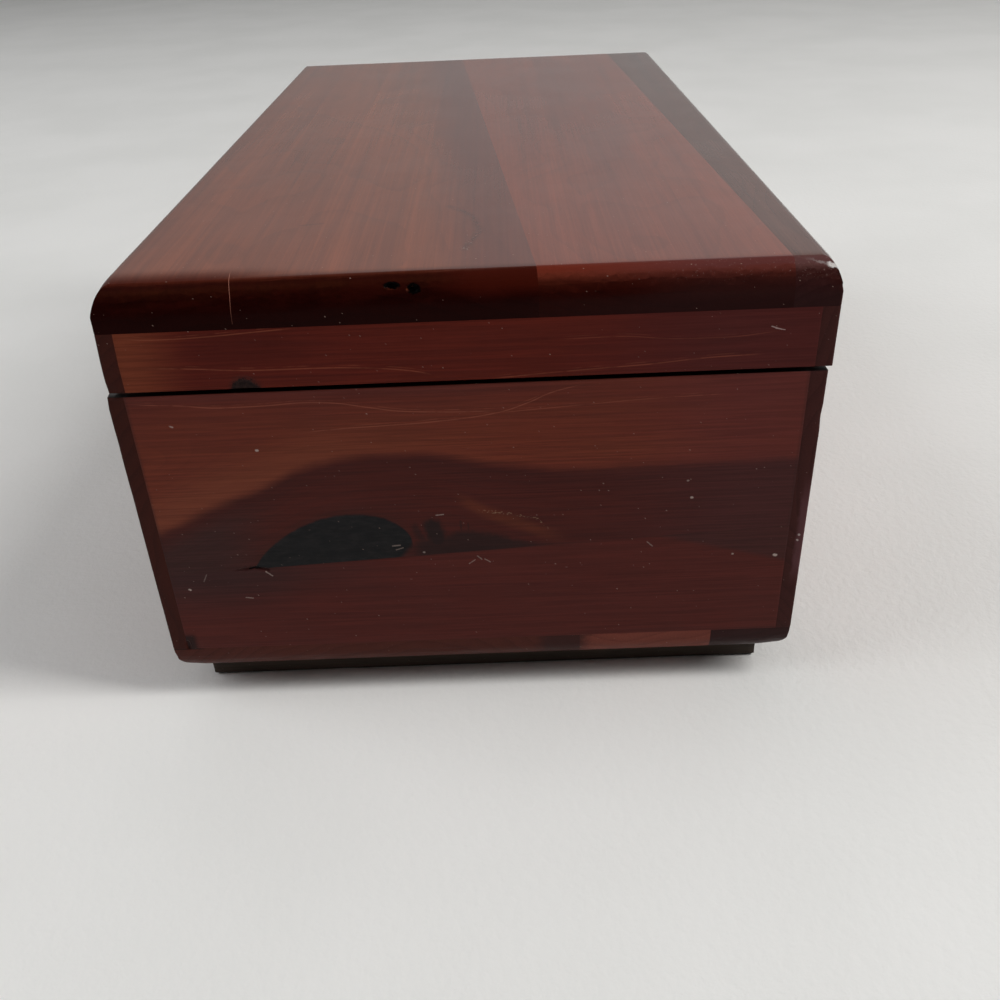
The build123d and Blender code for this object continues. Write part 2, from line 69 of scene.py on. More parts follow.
# ---------------------------------------------------------------- a small writer for node trees
class Graph:
    def __init__(self, name):
        self.mat = bpy.data.materials.new(name)
        self.mat.use_nodes = True
        self.nt = self.mat.node_tree
        self.nt.nodes.clear()
        self.cache = {}

    def node(self, kind, **props):
        n = self.nt.nodes.new(kind)
        for k, v in props.items():
            setattr(n, k, v)
        return n

    def put(self, socket, value):
        if isinstance(value, bpy.types.NodeSocket):
            self.nt.links.new(value, socket)
        elif value is not None:
            if hasattr(socket.default_value, "__len__") and not hasattr(value, "__len__"):
                value = [value] * len(socket.default_value)
            if hasattr(value, "__len__") and len(value) == 3 and len(socket.default_value) == 4:
                value = (*value, 1.0)
            socket.default_value = value

    def m(self, op, a, b=None, c=None, clamp=False):
        n = self.node("ShaderNodeMath", operation=op, use_clamp=clamp)
        for i, v in enumerate((a, b, c)):
            if v is not None:
                self.put(n.inputs[i], v)
        return n.outputs[0]

    def add(self, a, b): return self.m("ADD", a, b)
    def sub(self, a, b): return self.m("SUBTRACT", a, b)
    def mul(self, a, b): return self.m("MULTIPLY", a, b)
    def mad(self, a, b, c): return self.m("MULTIPLY_ADD", a, b, c)

    def total(self, *terms):
        out = terms[0]
        for t in terms[1:]:
            out = self.add(out, t)
        return out

    def prod(self, *terms):
        out = terms[0]
        for t in terms[1:]:
            out = self.mul(out, t)
        return out

    def step(self, x, a, b, lo=0.0, hi=1.0):
        """Smooth step: lo below a and hi above b. With a > b it falls."""
        n = self.node("ShaderNodeMapRange", interpolation_type="SMOOTHSTEP")
        if isinstance(a, (int, float)) and isinstance(b, (int, float)) and a > b:
            a, b, lo, hi = b, a, hi, lo
        for k, v in (("Value", x), ("From Min", a), ("From Max", b), ("To Min", lo), ("To Max", hi)):
            self.put(n.inputs[k], v)
        return n.outputs[0]

    def vec(self, x, y, z):
        n = self.node("ShaderNodeCombineXYZ")
        for i, v in enumerate((x, y, z)):
            self.put(n.inputs[i], v)
        return n.outputs[0]

    def split(self, v):
        n = self.node("ShaderNodeSeparateXYZ")
        self.put(n.inputs[0], v)
        return n.outputs[0], n.outputs[1], n.outputs[2]

    def place(self):
        """Object coordinates in millimetres, as three numbers."""
        if "place" not in self.cache:
            tc = self.node("ShaderNodeTexCoord")
            n = self.node("ShaderNodeVectorMath", operation="SCALE")
            self.nt.links.new(tc.outputs["Object"], n.inputs[0])
            n.inputs["Scale"].default_value = 1000.0
            self.cache["tc"] = tc
            self.cache["place"] = self.split(n.outputs[0])
        return self.cache["place"]

    def normal(self):
        self.place()
        if "normal" not in self.cache:
            self.cache["normal"] = self.split(self.cache["tc"].outputs["Normal"])
        return self.cache["normal"]

    def noise(self, v, scale=1.0, detail=3.0, rough=0.5, distort=0.0):
        n = self.node("ShaderNodeTexNoise", noise_dimensions="3D")
        self.put(n.inputs["Vector"], v)
        for k, x in (("Scale", scale), ("Detail", detail), ("Roughness", rough), ("Distortion", distort)):
            self.put(n.inputs[k], x)
        return n.outputs[0]

    def cells(self, v, scale=1.0, feature="F1", rand=1.0, dims="3D"):
        n = self.node("ShaderNodeTexVoronoi", voronoi_dimensions=dims, feature=feature)
        self.put(n.inputs["Vector"], v)
        self.put(n.inputs["Scale"], scale)
        self.put(n.inputs["Randomness"], rand)
        return n.outputs["Distance"], n.outputs["Color"]

    def curve(self, x, pts, lo, hi, smooth=True):
        """A height for each x, through a few points (x, height), inside lo..hi."""
        x0, x1 = pts[0][0], pts[-1][0]
        n = self.node("ShaderNodeFloatCurve")
        c = n.mapping.curves[0]
        norm = [((p[0] - x0) / (x1 - x0), (p[1] - lo) / (hi - lo)) for p in pts]
        c.points[0].location, c.points[1].location = norm[0], norm[-1]
        for p in norm[1:-1]:
            c.points.new(*p)
        for p in c.points:
            p.handle_type = "AUTO_CLAMPED" if smooth else "VECTOR"
        n.mapping.update()
        t = self.node("ShaderNodeMapRange")
        for k, v in (("Value", x), ("From Min", x0), ("From Max", x1), ("To Min", 0.0), ("To Max", 1.0)):
            self.put(t.inputs[k], v)
        self.nt.links.new(t.outputs[0], n.inputs["Value"])
        n.inputs["Factor"].default_value = 1.0
        return self.mad(n.outputs[0], hi - lo, lo)

    def mix(self, f, a, b, mode="MIX"):
        n = self.node("ShaderNodeMix", data_type="RGBA", blend_type=mode, clamp_factor=True)
        self.put(n.inputs[0], f)
        self.put(n.inputs[6], a)
        self.put(n.inputs[7], b)
        return n.outputs[2]

    def lerp(self, f, a, b):
        n = self.node("ShaderNodeMix", data_type="FLOAT", clamp_factor=True)
        self.put(n.inputs[0], f)
        self.put(n.inputs[2], a)
        self.put(n.inputs[3], b)
        return n.outputs[0]

    def tint(self, colour, factor):
        """colour times a number."""
        n = self.node("ShaderNodeVectorMath", operation="SCALE")
        self.put(n.inputs[0], colour)
        self.put(n.inputs["Scale"], factor)
        return n.outputs[0]

    def seg(self, u, v, a, b, w0, w1, rag=None):
        """1 on the line from a to b in the u, v plane, 0 beyond w1 from it. rag is added to the distance."""
        dx, dy = b[0] - a[0], b[1] - a[1]
        l2 = dx * dx + dy * dy
        pu, pv = self.sub(u, a[0]), self.sub(v, a[1])
        t = self.m("DIVIDE", self.add(self.mul(pu, dx), self.mul(pv, dy)), l2, clamp=True)
        qu, qv = self.sub(pu, self.mul(t, dx)), self.sub(pv, self.mul(t, dy))
        d = self.m("SQRT", self.add(self.mul(qu, qu), self.mul(qv, qv)))
        if rag is not None:
            d = self.add(d, rag)
        return self.step(d, w1, w0)

    def marks(self, u, v, spots):
        """Single nicks and short scratches, each (a, b, half width, strength), with uneven edges."""
        rag = self.mul(self.sub(self.noise(self.vec(u, v, 0.0), 3.0, 2.0, 0.6), 0.5), 0.22)
        out = None
        for a, b, w, k in spots:
            one = self.mul(self.seg(u, v, a, b, w * 0.35, w, rag), k)
            out = one if out is None else self.m("MAXIMUM", out, one)
        return out

    def line(self, u, v, pts, lo, hi, width, fade=3.0):
        """A thin line along a curve v(u), fading at its two ends."""
        c = self.curve(u, pts, lo, hi)
        d = self.m("ABSOLUTE", self.sub(v, c))
        m = self.step(d, width, width * 0.25)
        return self.prod(m, self.step(u, pts[0][0], pts[0][0] + fade), self.step(u, pts[-1][0], pts[-1][0] - fade))

    def vein(self, u, v, pts, lo, hi, width=0.17, fade=4.0):
        """A thin light line of the grain with a fainter one over it, both broken here and there."""
        off = self.sub(v, self.curve(u, pts, lo, hi))
        one = self.step(self.m("ABSOLUTE", off), width, width * 0.25)
        two = self.step(self.m("ABSOLUTE", self.sub(off, 0.45)), width * 0.8, width * 0.2)
        gap = self.noise(self.vec(self.mul(u, 0.20), self.mul(v, 0.3), lo), 1.0, 3.0, 0.6)
        one = self.mul(one, self.step(gap, 0.28, 0.50))
        two = self.prod(two, 0.6, self.step(gap, 0.44, 0.60))
        m = self.m("MAXIMUM", one, two)
        return self.prod(m, self.step(u, pts[0][0], pts[0][0] + fade), self.step(u, pts[-1][0], pts[-1][0] - fade))

    def finish(self, colour, rough, height=None, height_mm=0.05, **fixed):
        b = self.node("ShaderNodeBsdfPrincipled")
        out = self.node("ShaderNodeOutputMaterial")
        self.put(b.inputs["Base Color"], colour)
        self.put(b.inputs["Roughness"], rough)
        for k, v in fixed.items():
            self.put(b.inputs[k.replace("_", " ")], v)
        if height is not None:
            bump = self.node("ShaderNodeBump")
            bump.inputs["Strength"].default_value = 1.0
            bump.inputs["Distance"].default_value = height_mm / 1000.0
            self.nt.links.new(height, bump.inputs["Height"])
            self.nt.links.new(bump.outputs[0], b.inputs["Normal"])
        self.nt.links.new(b.outputs[0], out.inputs[0])
        return self.mat


def srgb(r, g, b):
    def one(c):
        c /= 255.0
        return c / 12.92 if c <= 0.04045 else ((c + 0.055) / 1.055) ** 2.4
    return (one(r), one(g), one(b))


def times(c, k):
    return tuple(x * k for x in c)


# ---------------------------------------------------------------- cedar
# Linear albedo of the lacquered wood.
RED_LIGHT = (0.205, 0.047, 0.0185)
RED_MID = (0.160, 0.034, 0.0145)
RED_DARK = (0.085, 0.020, 0.0115)
RAW_LIGHT = (0.560, 0.270, 0.150)
RAW_DARK = (0.330, 0.125, 0.070)


class Cedar:
    """The figure of one board as a solid texture, so that faces and end grain agree."""

    def __init__(self, name, along, pith, ring_mm, seed, wobble=1.0, field=None):
        g = self.g = Graph(name)
        x, y, z = g.place()
        self.x, self.y, self.z = x, y, z
        nx, ny, nz = g.normal()
        if along == "x":
            l, a, b, self.nl = x, y, z, nx
        else:
            l, a, b, self.nl = y, x, z, ny
        self.l, self.a, self.b = l, a, b
        s = seed * 37.3
        self.s = s
        # slow drift of the rings along the board
        drift_a = g.sub(g.noise(g.vec(g.mad(l, 0.011, s), g.mul(a, 0.02), g.mul(b, 0.02)), 1.0, 2.0, 0.5), 0.5)
        drift_b = g.sub(g.noise(g.vec(g.mad(l, 0.013, s + 9), g.mul(a, 0.02), g.mul(b, 0.02)), 1.0, 2.0, 0.5), 0.5)
        ra = g.total(a, -pith[0], g.mul(drift_a, 26.0 * wobble))
        rb = g.total(b, -pith[1], g.mul(drift_b, 26.0 * wobble))
        r = field(self) if field else g.m("SQRT", g.add(g.mul(ra, ra), g.mul(rb, rb)))
        self.rings(r, ring_mm, 0.9 if field else 2.4)

    def rings(self, r, ring_mm, ripple):
        """Growth rings from a distance r: a slow rise and a sharp dark line at the end of each."""
        g = self.g
        wav = g.noise(g.vec(g.mad(self.l, 0.03, self.s), g.mul(self.a, 0.08), g.mul(self.b, 0.08)), 1.0, 2.0, 0.5)
        q = g.m("DIVIDE", g.add(r, g.mul(g.sub(wav, 0.5), ripple)), ring_mm)
        band = g.noise(g.vec(g.mul(q, 0.33), self.s, 0.0), 1.0, 2.0, 0.6)
        f = g.m("FRACT", q)
        late = g.mul(g.m("POWER", f, 3.0), g.step(f, 1.0, 0.93))
        self.q, self.band, self.late = q, band, late
        fib = g.noise(g.vec(g.mad(self.l, 0.045, self.s), g.mul(self.a, 2.6), g.mul(self.b, 2.6)), 1.0, 4.0, 0.62)
        fib2 = g.noise(g.vec(g.mad(self.l, 0.012, self.s), g.mul(self.a, 0.42), g.mul(self.b, 0.42)), 1.0, 3.0, 0.55)
        self.fib, self.fib2 = fib, fib2
        self.cloud = g.noise(g.vec(g.mad(self.l, 0.010, self.s + 3), g.mul(self.a, 0.045), g.mul(self.b, 0.045)), 1.0, 2.0, 0.5)
        tick = g.noise(g.vec(g.mad(self.l, 0.28, self.s), g.mul(self.a, 7.0), g.mul(self.b, 7.0)), 1.0, 1.0, 0.5)
        self.tick = g.step(tick, 0.66, 0.74)
        # fine light and dark threads that run along the grain
        line = g.noise(g.vec(g.mad(self.l, 0.06, self.s + 2), g.mul(self.a, 2.5), g.mul(self.b, 2.5)), 1.0, 3.0, 0.65)
        gate = g.noise(g.vec(g.mad(self.l, 0.02, self.s + 6), g.mul(self.a, 0.15), g.mul(self.b, 0.15)), 1.0, 1.0, 0.5)
        self.thread = g.mul(g.sub(g.step(line, 0.36, 0.64), 0.5), g.mad(gate, 1.2, 0.4))

    def figure(self, light, mid, dark, ring=0.35, streak=0.5, fibre=0.28, tick=0.35):
        g = self.g
        broad = g.total(g.mul(self.cloud, 0.55), g.mul(self.band, 0.30), g.mul(self.fib2, 0.45))
        c = g.mix(g.step(broad, 0.42, 0.80), mid, light)
        c = g.mix(g.mul(g.step(broad, 0.60, 0.38), streak), c, dark)
        c = g.mix(g.mul(self.late, ring), c, dark)
        c = g.tint(c, g.mad(g.sub(self.fib, 0.5), 2.0 * fibre, 1.0))
        c = g.mix(g.mul(self.tick, tick), c, times(dark, 0.6))
        return c

    def end_grain(self, colour, dark, k=0.9, mask=(0.15, 0.5)):
        """Darkens where the face cuts across the grain, and shows the rings."""
        g = self.g
        nl = g.m("ABSOLUTE", self.nl)
        e = g.step(nl, mask[0], mask[1])
        if len(mask) == 3:
            e = g.add(g.mul(e, 0.83), g.step(nl, mask[1], mask[2], 0.0, 0.17))
        pore = g.noise(g.vec(g.mul(self.l, 0.4), g.mul(self.a, 3.2), g.mul(self.b, 3.2)), 1.0, 3.0, 0.7)
        d = g.tint(dark, g.total(0.55, g.mul(self.late, -0.25), g.mul(pore, 0.55), g.mul(self.band, 0.35)))
        self.cross = e
        return g.mix(g.mul(e, k), colour, d)

    def dust(self, colour, amount=0.5, tone=(0.36, 0.24, 0.20)):
        """Light specks of several sizes and strengths, and a few short scratches, on the lacquer."""
        g = self.g
        u, v = g.mad(self.z, 0.6, self.y), g.sub(self.x, self.z)
        d, cc = g.cells(g.vec(g.add(u, self.s), v, 0.0), 0.62, dims="2D")
        r, gr, b = g.split(cc)
        dot = g.prod(g.m("LESS_THAN", d, g.mad(gr, 0.055, 0.03)), g.step(r, 0.90, 0.95), g.mad(b, 0.85, 0.15))
        d2, cc2 = g.cells(g.vec(g.mul(u, 0.45), g.mul(v, 1.3), self.s + 5), 0.5)
        r2, g2, b2 = g.split(cc2)
        dash = g.mul(g.step(d2, 0.08, 0.03), g.step(g2, 0.955, 0.97))
        self.specks = g.m("MAXIMUM", dot, g.mul(dash, 0.5))
        return g.mix(g.mul(self.specks, amount), colour, tone)


def lacquer_rough(c, low, high, extra=0.0):
    """Roughness that varies with slow smears and fine fibres."""
    g = c.g
    smear = g.noise(g.vec(g.mul(c.x, 0.06), g.mul(c.y, 0.06), g.mul(c.z, 0.06)), 1.0, 3.0, 0.6)
    r = g.total(g.lerp(g.step(smear, 0.3, 0.7), low, high), g.mul(g.sub(c.fib, 0.5), 0.06), g.mul(c.specks, 0.25))
    return r if not extra else g.add(r, extra)


def fine_bump(c, fib=0.35, slow=0.25):
    g = c.g
    lump = g.noise(g.vec(g.mul(c.x, 0.22), g.mul(c.y, 0.22), g.mul(c.z, 0.22)), 1.0, 2.0, 0.5)
    return g.total(g.mul(c.fib, fib), g.mul(lump, slow), g.mul(c.specks, 0.6), g.mul(c.late, -0.15))


def sawn_rim(c, colour, z0):
    """The saw cut's own faces, darkened nearly black along the outer arris."""
    g = c.g
    ox = g.step(g.m("ABSOLUTE", c.x), 111.4, 113.2)
    oy = g.step(g.m("ABSOLUTE", g.sub(c.y, YS if z0 < 70.0 else LID_MID)), 59.8, 61.6)
    flat = g.mul(g.step(g.m("ABSOLUTE", g.normal()[2]), 0.6, 0.9), g.step(g.m("ABSOLUTE", g.sub(c.z, z0)), 0.30, 0.05))
    return g.mix(g.prod(g.m("MAXIMUM", ox, oy), flat, 0.96), colour, (0.0022, 0.0016, 0.0015))


def board(name, along, pith, ring_mm, seed, light=RED_LIGHT, mid=RED_MID, dark=RED_DARK,
          rough=(0.22, 0.34), spec=0.35, inner=None, end=None, paint=None, wobble=1.0, ring=0.35, streak=0.5,
          fibre=0.28, bump_mm=0.05, dust=0.5, coat=0.0, coat_rough=0.1, end_k=0.9, end_mask=(0.15, 0.5), field=None, threads=0.30, coat_end=0.05, coat_mask=(0.10, 0.42), rim=None, bare_corner=False):
    """One board. inner is a function that gives 1 on the bare faces inside the chest. end is the
    tone of the end grain. paint is a function (c, colour) that adds what this board alone shows."""
    c = Cedar(name, along, pith, ring_mm, seed, wobble, field)
    g = c.g
    colour = c.figure(light, mid, dark, ring, streak, fibre)
    if paint:
        colour = paint(c, colour)
    colour = g.tint(colour, g.mad(c.thread, threads, 1.0))
    colour = c.end_grain(colour, end or times(dark, 0.8), end_k, end_mask)
    if getattr(c, "late_paint", None):
        colour = c.late_paint(c, colour)
    if rim:
        colour = sawn_rim(c, colour, rim)
    colour = c.dust(colour, dust)
    rg = lacquer_rough(c, *rough)
    if inner:
        raw = g.mix(g.step(g.total(g.mul(c.cloud, 0.6), g.mul(c.fib2, 0.6)), 0.4, 0.8), RAW_DARK, RAW_LIGHT)
        raw = g.mix(g.mul(c.late, 0.55), raw, times(RAW_DARK, 0.75))
        raw = g.tint(raw, g.mad(g.sub(c.fib, 0.5), 0.5, 1.0))
        raw = g.mix(g.mul(c.tick, 0.35), raw, times(RAW_DARK, 0.5))
        k = inner(c)
        colour = g.mix(k, colour, raw)
        rg = g.lerp(k, rg, 0.62)
    fixed = dict(Specular_IOR_Level=spec, Coat_Roughness=coat_rough, Coat_IOR=1.5)
    if coat:
        # the lacquer lies full on the faces and has sunk into the end grain
        w = g.lerp(g.step(g.m("ABSOLUTE", c.nl), *coat_mask), coat, coat_end)
        w = g.mul(w, g.mad(c.specks, -0.6, 1.0))
        if bare_corner:
            w = g.mul(w, g.step(g.m("ABSOLUTE", c.x), 114.1, 112.4))
        if getattr(c, "coat_left", None):
            w = g.mul(w, c.coat_left)
        if inner:
            w = g.mul(w, g.sub(1.0, k))
        fixed["Coat_Weight"] = w
    return g.finish(colour, rg, fine_bump(c), bump_mm, **fixed)


def inward(axis, sign, power=None):
    """1 on faces that look along sign * axis."""
    def f(c):
        n = c.g.normal()["xyz".index(axis)]
        return c.g.step(c.g.mul(n, float(sign)), 0.5, 0.8)
    return f


def inside_y(sign):
    """The bare faces inside the chest, without the part of the board that the end is glued into."""
    def f(c):
        return c.g.mul(inward("y", sign)(c), c.g.step(c.g.m("ABSOLUTE", c.x), 111.0, 109.5))
    return f


def assign(node, mat):
    o = NODES[node]
    if not o.material_slots:
        o.data.materials.append(mat)
    for s in o.material_slots:
        s.material = mat


# ---------------------------------------------------------------- the end that the camera sees
YS, LID_MID = -1.755, -1.155              # middle of the body and of the lid, in y
HALF_L, HALF_W, LIP_AT = 114.3, 62.7, 59.55
ARCH = [(-65, 39.5), (-60.8, 41.5), (-48.2, 47.4), (-38.4, 51.0), (-31.0, 53.9), (-22.0, 55.5), (-14.5, 55.7), (-7.0, 55.1),
        (-1.3, 53.6), (4.3, 52.6), (17.9, 51.5), (34.5, 52.3), (50.7, 52.6), (62.0, 53.0)]
KNOT_TOP = [(-45.2, 30.6), (-43.8, 33.2), (-41.8, 35.8), (-38.6, 38.6), (-34.5, 41.2), (-29.7, 43.0), (-25.2, 43.6), (-19.9, 43.0),
            (-17.2, 41.7), (-15.4, 40.3), (-14.2, 38.7), (-13.7, 37.2), (-13.5, 30.0)]


SHADE = (0.0400, 0.0130, 0.0125)
WEDGE = [(-16, 34.5), (-13.5, 36.6), (-10.8, 37.4), (-7.0, 37.9), (-4.0, 38.9), (-0.9, 38.6), (2.6, 37.9), (6.6, 36.4), (14.2, 34.9), (24, 34.6)]


def paint_right_upper(c, colour):
    g = c.g
    y, z = c.y, c.z
    jit = g.mul(g.sub(g.noise(g.vec(0.0, g.mul(y, 0.12), g.mul(z, 0.5)), 1.0, 4.0, 0.6), 0.5), 1.6)
    arch = g.curve(y, ARCH, 36.0, 60.0)
    below = g.add(g.sub(arch, z), jit)                    # mm under the edge of the dark zone
    # the light zone: redder under the saw cut, lighter over the arch, cooler to the right
    colour = g.mix(g.mul(g.step(z, 58.0, 68.5), 0.55), colour, (0.100, 0.0165, 0.0105))
    colour = g.mix(g.prod(g.step(below, -11.0, -1.5), g.step(y, 10.0, -45.0), 0.62), colour, (0.185, 0.0470, 0.0225))
    colour = g.mix(g.mul(g.step(y, 18.0, 50.0), 0.60), colour, (0.110, 0.0195, 0.0185))
    below = g.add(below, g.mul(g.mul(g.step(y, -44.0, -30.0), g.step(y, 34.0, 8.0)), 1.0))
    zone = g.step(below, -0.8, 1.9)
    deep = g.add(g.mul(g.step(below, 7.5, 2.0), 0.9), g.mul(g.step(below, 10.0, 16.0), 0.5))
    dark = g.mix(deep, (0.068, 0.0092, 0.0062), (0.053, 0.0074, 0.0056))
    right = g.step(y, 15.0, 55.0)
    dark = g.mix(right, dark, (0.058, 0.0132, 0.0125))
    dark = g.mix(g.mul(g.step(y, -36.0, -52.0), g.step(below, 1.0, 6.0)), dark, SHADE)
    dark = g.tint(dark, g.mad(g.sub(c.fib, 0.5), 0.5, 1.0))
    dark = g.mix(g.mul(c.late, 0.35), dark, (0.036, 0.0085, 0.0065))
    colour = g.mix(g.mul(zone, 0.95), colour, dark)
    # lighter lines of the grain
    l1 = g.vein(y, z, [(-61, 67.9), (-52, 67.3), (-44.4, 66.6), (-37, 66.7), (-30.5, 67.0), (-25.8, 66.8), (-19, 65.6), (-13.9, 64.7), (-6.7, 64.2), (4, 64.0)], 60, 72)
    l2 = g.vein(y, z, [(-32, 61.0), (-26.4, 61.5), (-17, 61.9), (-8.3, 62.3), (3.3, 63.6), (9, 65.4), (13.2, 67.2), (19.0, 68.6)], 58, 72)
    l3 = g.vein(y, z, [(3.3, 63.6), (10, 64.0), (17.9, 64.5), (30, 65.2), (44, 65.6)], 58, 72, 0.14)
    lines = g.m("MAXIMUM", l1, g.m("MAXIMUM", l2, g.mul(l3, 0.7)))
    colour = g.mix(g.mul(lines, 0.42), colour, (0.31, 0.090, 0.050))
    # the cool band right under the saw cut, left of the middle
    cut = g.mul(g.step(z, 66.5, 69.0), g.step(y, 30.0, -10.0))
    colour = g.mix(g.mul(cut, 0.4), colour, (0.085, 0.018, 0.016))
    # an orange sweep right of the knot
    sweep = g.sub(z, g.curve(y, [(-6, 46.6), (-3.3, 45.4), (-0.6, 43.7), (3.0, 41.8), (8.6, 39.4), (12.0, 37.8), (18, 36.4)], 34, 48))
    warm = g.prod(g.step(g.m("ABSOLUTE", sweep), 2.3, 0.2), g.step(y, -6.0, -1.5), g.step(y, 17.0, 9.0))
    colour = g.mix(g.mul(warm, 0.50), colour, (0.135, 0.0290, 0.0105))
    # soft dark patches right of the knot, and a dark wedge that thins out along the glue line
    rag = g.mul(g.sub(g.noise(g.vec(0.0, g.mul(y, 0.8), g.mul(z, 0.5)), 1.0, 3.0, 0.65), 0.5), 1.5)
    wedge = g.add(g.sub(g.curve(y, WEDGE, 34, 40), z), rag)
    wedge = g.prod(g.step(wedge, -0.9, 0.9), g.step(y, -15.0, -11.5), g.step(y, 21.0, 4.0), 0.72)
    blob = g.mul(g.seg(y, z, (-9.6, 40.2), (-8.9, 37.2), 0.9, 2.5, rag), 0.85)
    side = g.mul(g.seg(y, z, (-12.9, 40.2), (-11.8, 37.4), 0.1, 1.3, rag), 0.55)
    hair = g.m("MAXIMUM", g.seg(y, z, (-4.3, 41.2), (-4.1, 36.0), 0.05, 0.36), g.seg(y, z, (-2.9, 40.6), (-2.8, 37.0), 0.05, 0.28))
    patch = g.m("MAXIMUM", g.m("MAXIMUM", wedge, blob), g.m("MAXIMUM", side, g.mul(hair, 0.45)))
    colour = g.mix(patch, colour, (0.0115, 0.0062, 0.0062))
    # the knot
    top = g.curve(y, KNOT_TOP, 28.0, 46.0)
    edge = g.mul(g.sub(g.noise(g.vec(0.0, g.mul(y, 0.8), g.mul(z, 0.8)), 1.0, 3.0, 0.6), 0.5), 0.45)
    corner = g.step(g.add(g.sub(z, g.mad(g.add(y, 16.2), 1.15, 33.4)), edge), -1.3, 0.9)
    knot = g.prod(g.step(g.add(g.sub(top, z), edge), -0.25, 0.45), g.step(y, -45.2, -44.6), g.step(g.add(y, edge), -12.8, -14.2), corner)
    halo = g.mul(g.step(g.sub(top, z), -3.0, 0.5), g.mul(g.step(y, -48.0, -43.0), g.step(y, -10.0, -15.0)))
    colour = g.mix(g.mul(halo, 0.40), colour, (0.048, 0.0100, 0.0065))
    inside = g.noise(g.vec(0.0, g.mul(y, 0.35), g.mul(z, 0.9)), 1.0, 3.0, 0.6)
    black = g.mix(g.step(inside, 0.35, 0.75), (0.0062, 0.0060, 0.0070), (0.0140, 0.0120, 0.0125))
    c.knot = knot
    return g.mix(knot, colour, black)


def late_right_upper(c, colour):
    g = c.g
    y, z = c.y, c.z
    # a ragged line of bright flecks where the figure turns, and the little crack at the knot's tip
    path = g.curve(y, [(-1.0, 43.4), (0.3, 43.2), (2.5, 42.9), (4.9, 42.4), (7.7, 41.8), (10.2, 41.0), (11.6, 39.4), (12.5, 38.6)], 36, 46)
    off = g.m("ABSOLUTE", g.add(g.sub(z, path), g.mul(g.sub(g.noise(g.vec(0.0, y, z), 1.4, 2.0, 0.6), 0.5), 1.3)))
    fl = g.noise(g.vec(0.0, g.mul(y, 1.6), g.mul(z, 2.4)), 1.0, 3.0, 0.7)
    fl = g.prod(g.step(fl, 0.50, 0.60), g.step(off, 0.30, 0.08), g.step(y, -1.5, 1.0), g.step(y, 12.6, 11.2))
    colour = g.mix(g.mul(fl, 0.60), colour, (0.32, 0.19, 0.115))
    crack = g.m("MAXIMUM", g.seg(y, z, (-45.6, 31.9), (-44.0, 32.4), 0.06, 0.24), g.seg(y, z, (-44.0, 32.4), (-42.4, 31.9), 0.14, 0.38))
    colour = g.mix(crack, colour, (0.004, 0.002, 0.002))
    nicks = g.marks(y, z, (((38.8, 44.5), (38.95, 44.5), 0.34, 0.8), ((37.9, 48.2), (38.0, 48.2), 0.26, 0.5), ((-40.0, 57.9), (-39.8, 57.9), 0.32, 0.9),
                           ((-54.3, 63.3), (-54.0, 63.2), 0.24, 0.6), ((-17.5, 36.1), (-16.1, 36.2), 0.22, 0.35), ((-8.8, 42.7), (-7.4, 42.8), 0.16, 0.5),
                           ((-11.7, 34.4), (-11.6, 34.4), 0.28, 0.5), ((-16.9, 35.2), (-15.6, 35.6), 0.18, 0.3)))
    colour = g.mix(nicks, colour, (0.43, 0.33, 0.29))
    # strip of dark along both ends of the board, where the lips meet it
    side = g.m("MAXIMUM", g.step(y, -60.6, -61.3), g.step(y, 57.0, 57.8))
    return g.mix(g.mul(side, 0.4), colour, (0.035, 0.009, 0.007))


def paint_right_lower(c, colour):
    g = c.g
    y, z = c.y, c.z
    line = g.mad(y, 0.055, 34.25 - 0.055 * YS)
    left = g.mul(g.step(y, -30.0, -50.0), g.step(z, 19.0, 31.0))
    colour = g.mix(g.mul(left, 0.92), colour, SHADE)
    tip = g.mul(g.step(g.sub(line, z), 9.0, 1.0), g.mul(g.step(y, -48.0, -42.0), g.step(y, -14.0, -34.0)))
    colour = g.mix(g.mul(tip, 0.5), colour, SHADE)
    # the upper board's cool shade runs on under the glue line towards the back
    under = g.step(g.sub(g.mad(y, 0.33, -10.6), g.sub(line, z)), -0.4, 1.2)
    colour = g.mix(g.mul(under, 0.65), colour, SHADE)
    glue = g.mul(g.step(g.sub(line, z), 0.45, 0.0), g.step(y, -47.0, -40.0))
    nicks = g.marks(y, z, (((55.6, 30.8), (55.9, 30.7), 0.40, 1.0), ((47.5, 31.4), (47.6, 31.4), 0.26, 0.7), ((31.0, 34.9), (32.0, 33.9), 0.17, 0.35),
                           ((-1.5, 33.1), (-0.7, 32.3), 0.17, 0.4), ((-0.1, 32.3), (0.9, 31.6), 0.17, 0.4), ((-3.1, 31.4), (-2.0, 32.2), 0.16, 0.35),
                           ((-58.1, 27.6), (-57.9, 27.5), 0.30, 0.9), ((-42.5, 31.2), (-41.4, 30.2), 0.19, 0.5), ((-54.1, 31.0), (-54.9, 29.4), 0.15, 0.25),
                           ((-47.4, 25.2), (-46.0, 25.0), 0.17, 0.4)))
    colour = g.mix(nicks, colour, (0.43, 0.33, 0.29))
    # painted shade: the end darkened nearly black in the small gap at its front lower corner
    notch_shade = g.mul(g.step(y, -58.6, -60.0), g.step(z, 17.0, 15.6))
    colour = g.mix(g.mul(notch_shade, 0.9), colour, (0.016, 0.0040, 0.0035))
    return g.mix(g.mul(glue, 0.35), colour, (0.030, 0.0080, 0.0060))


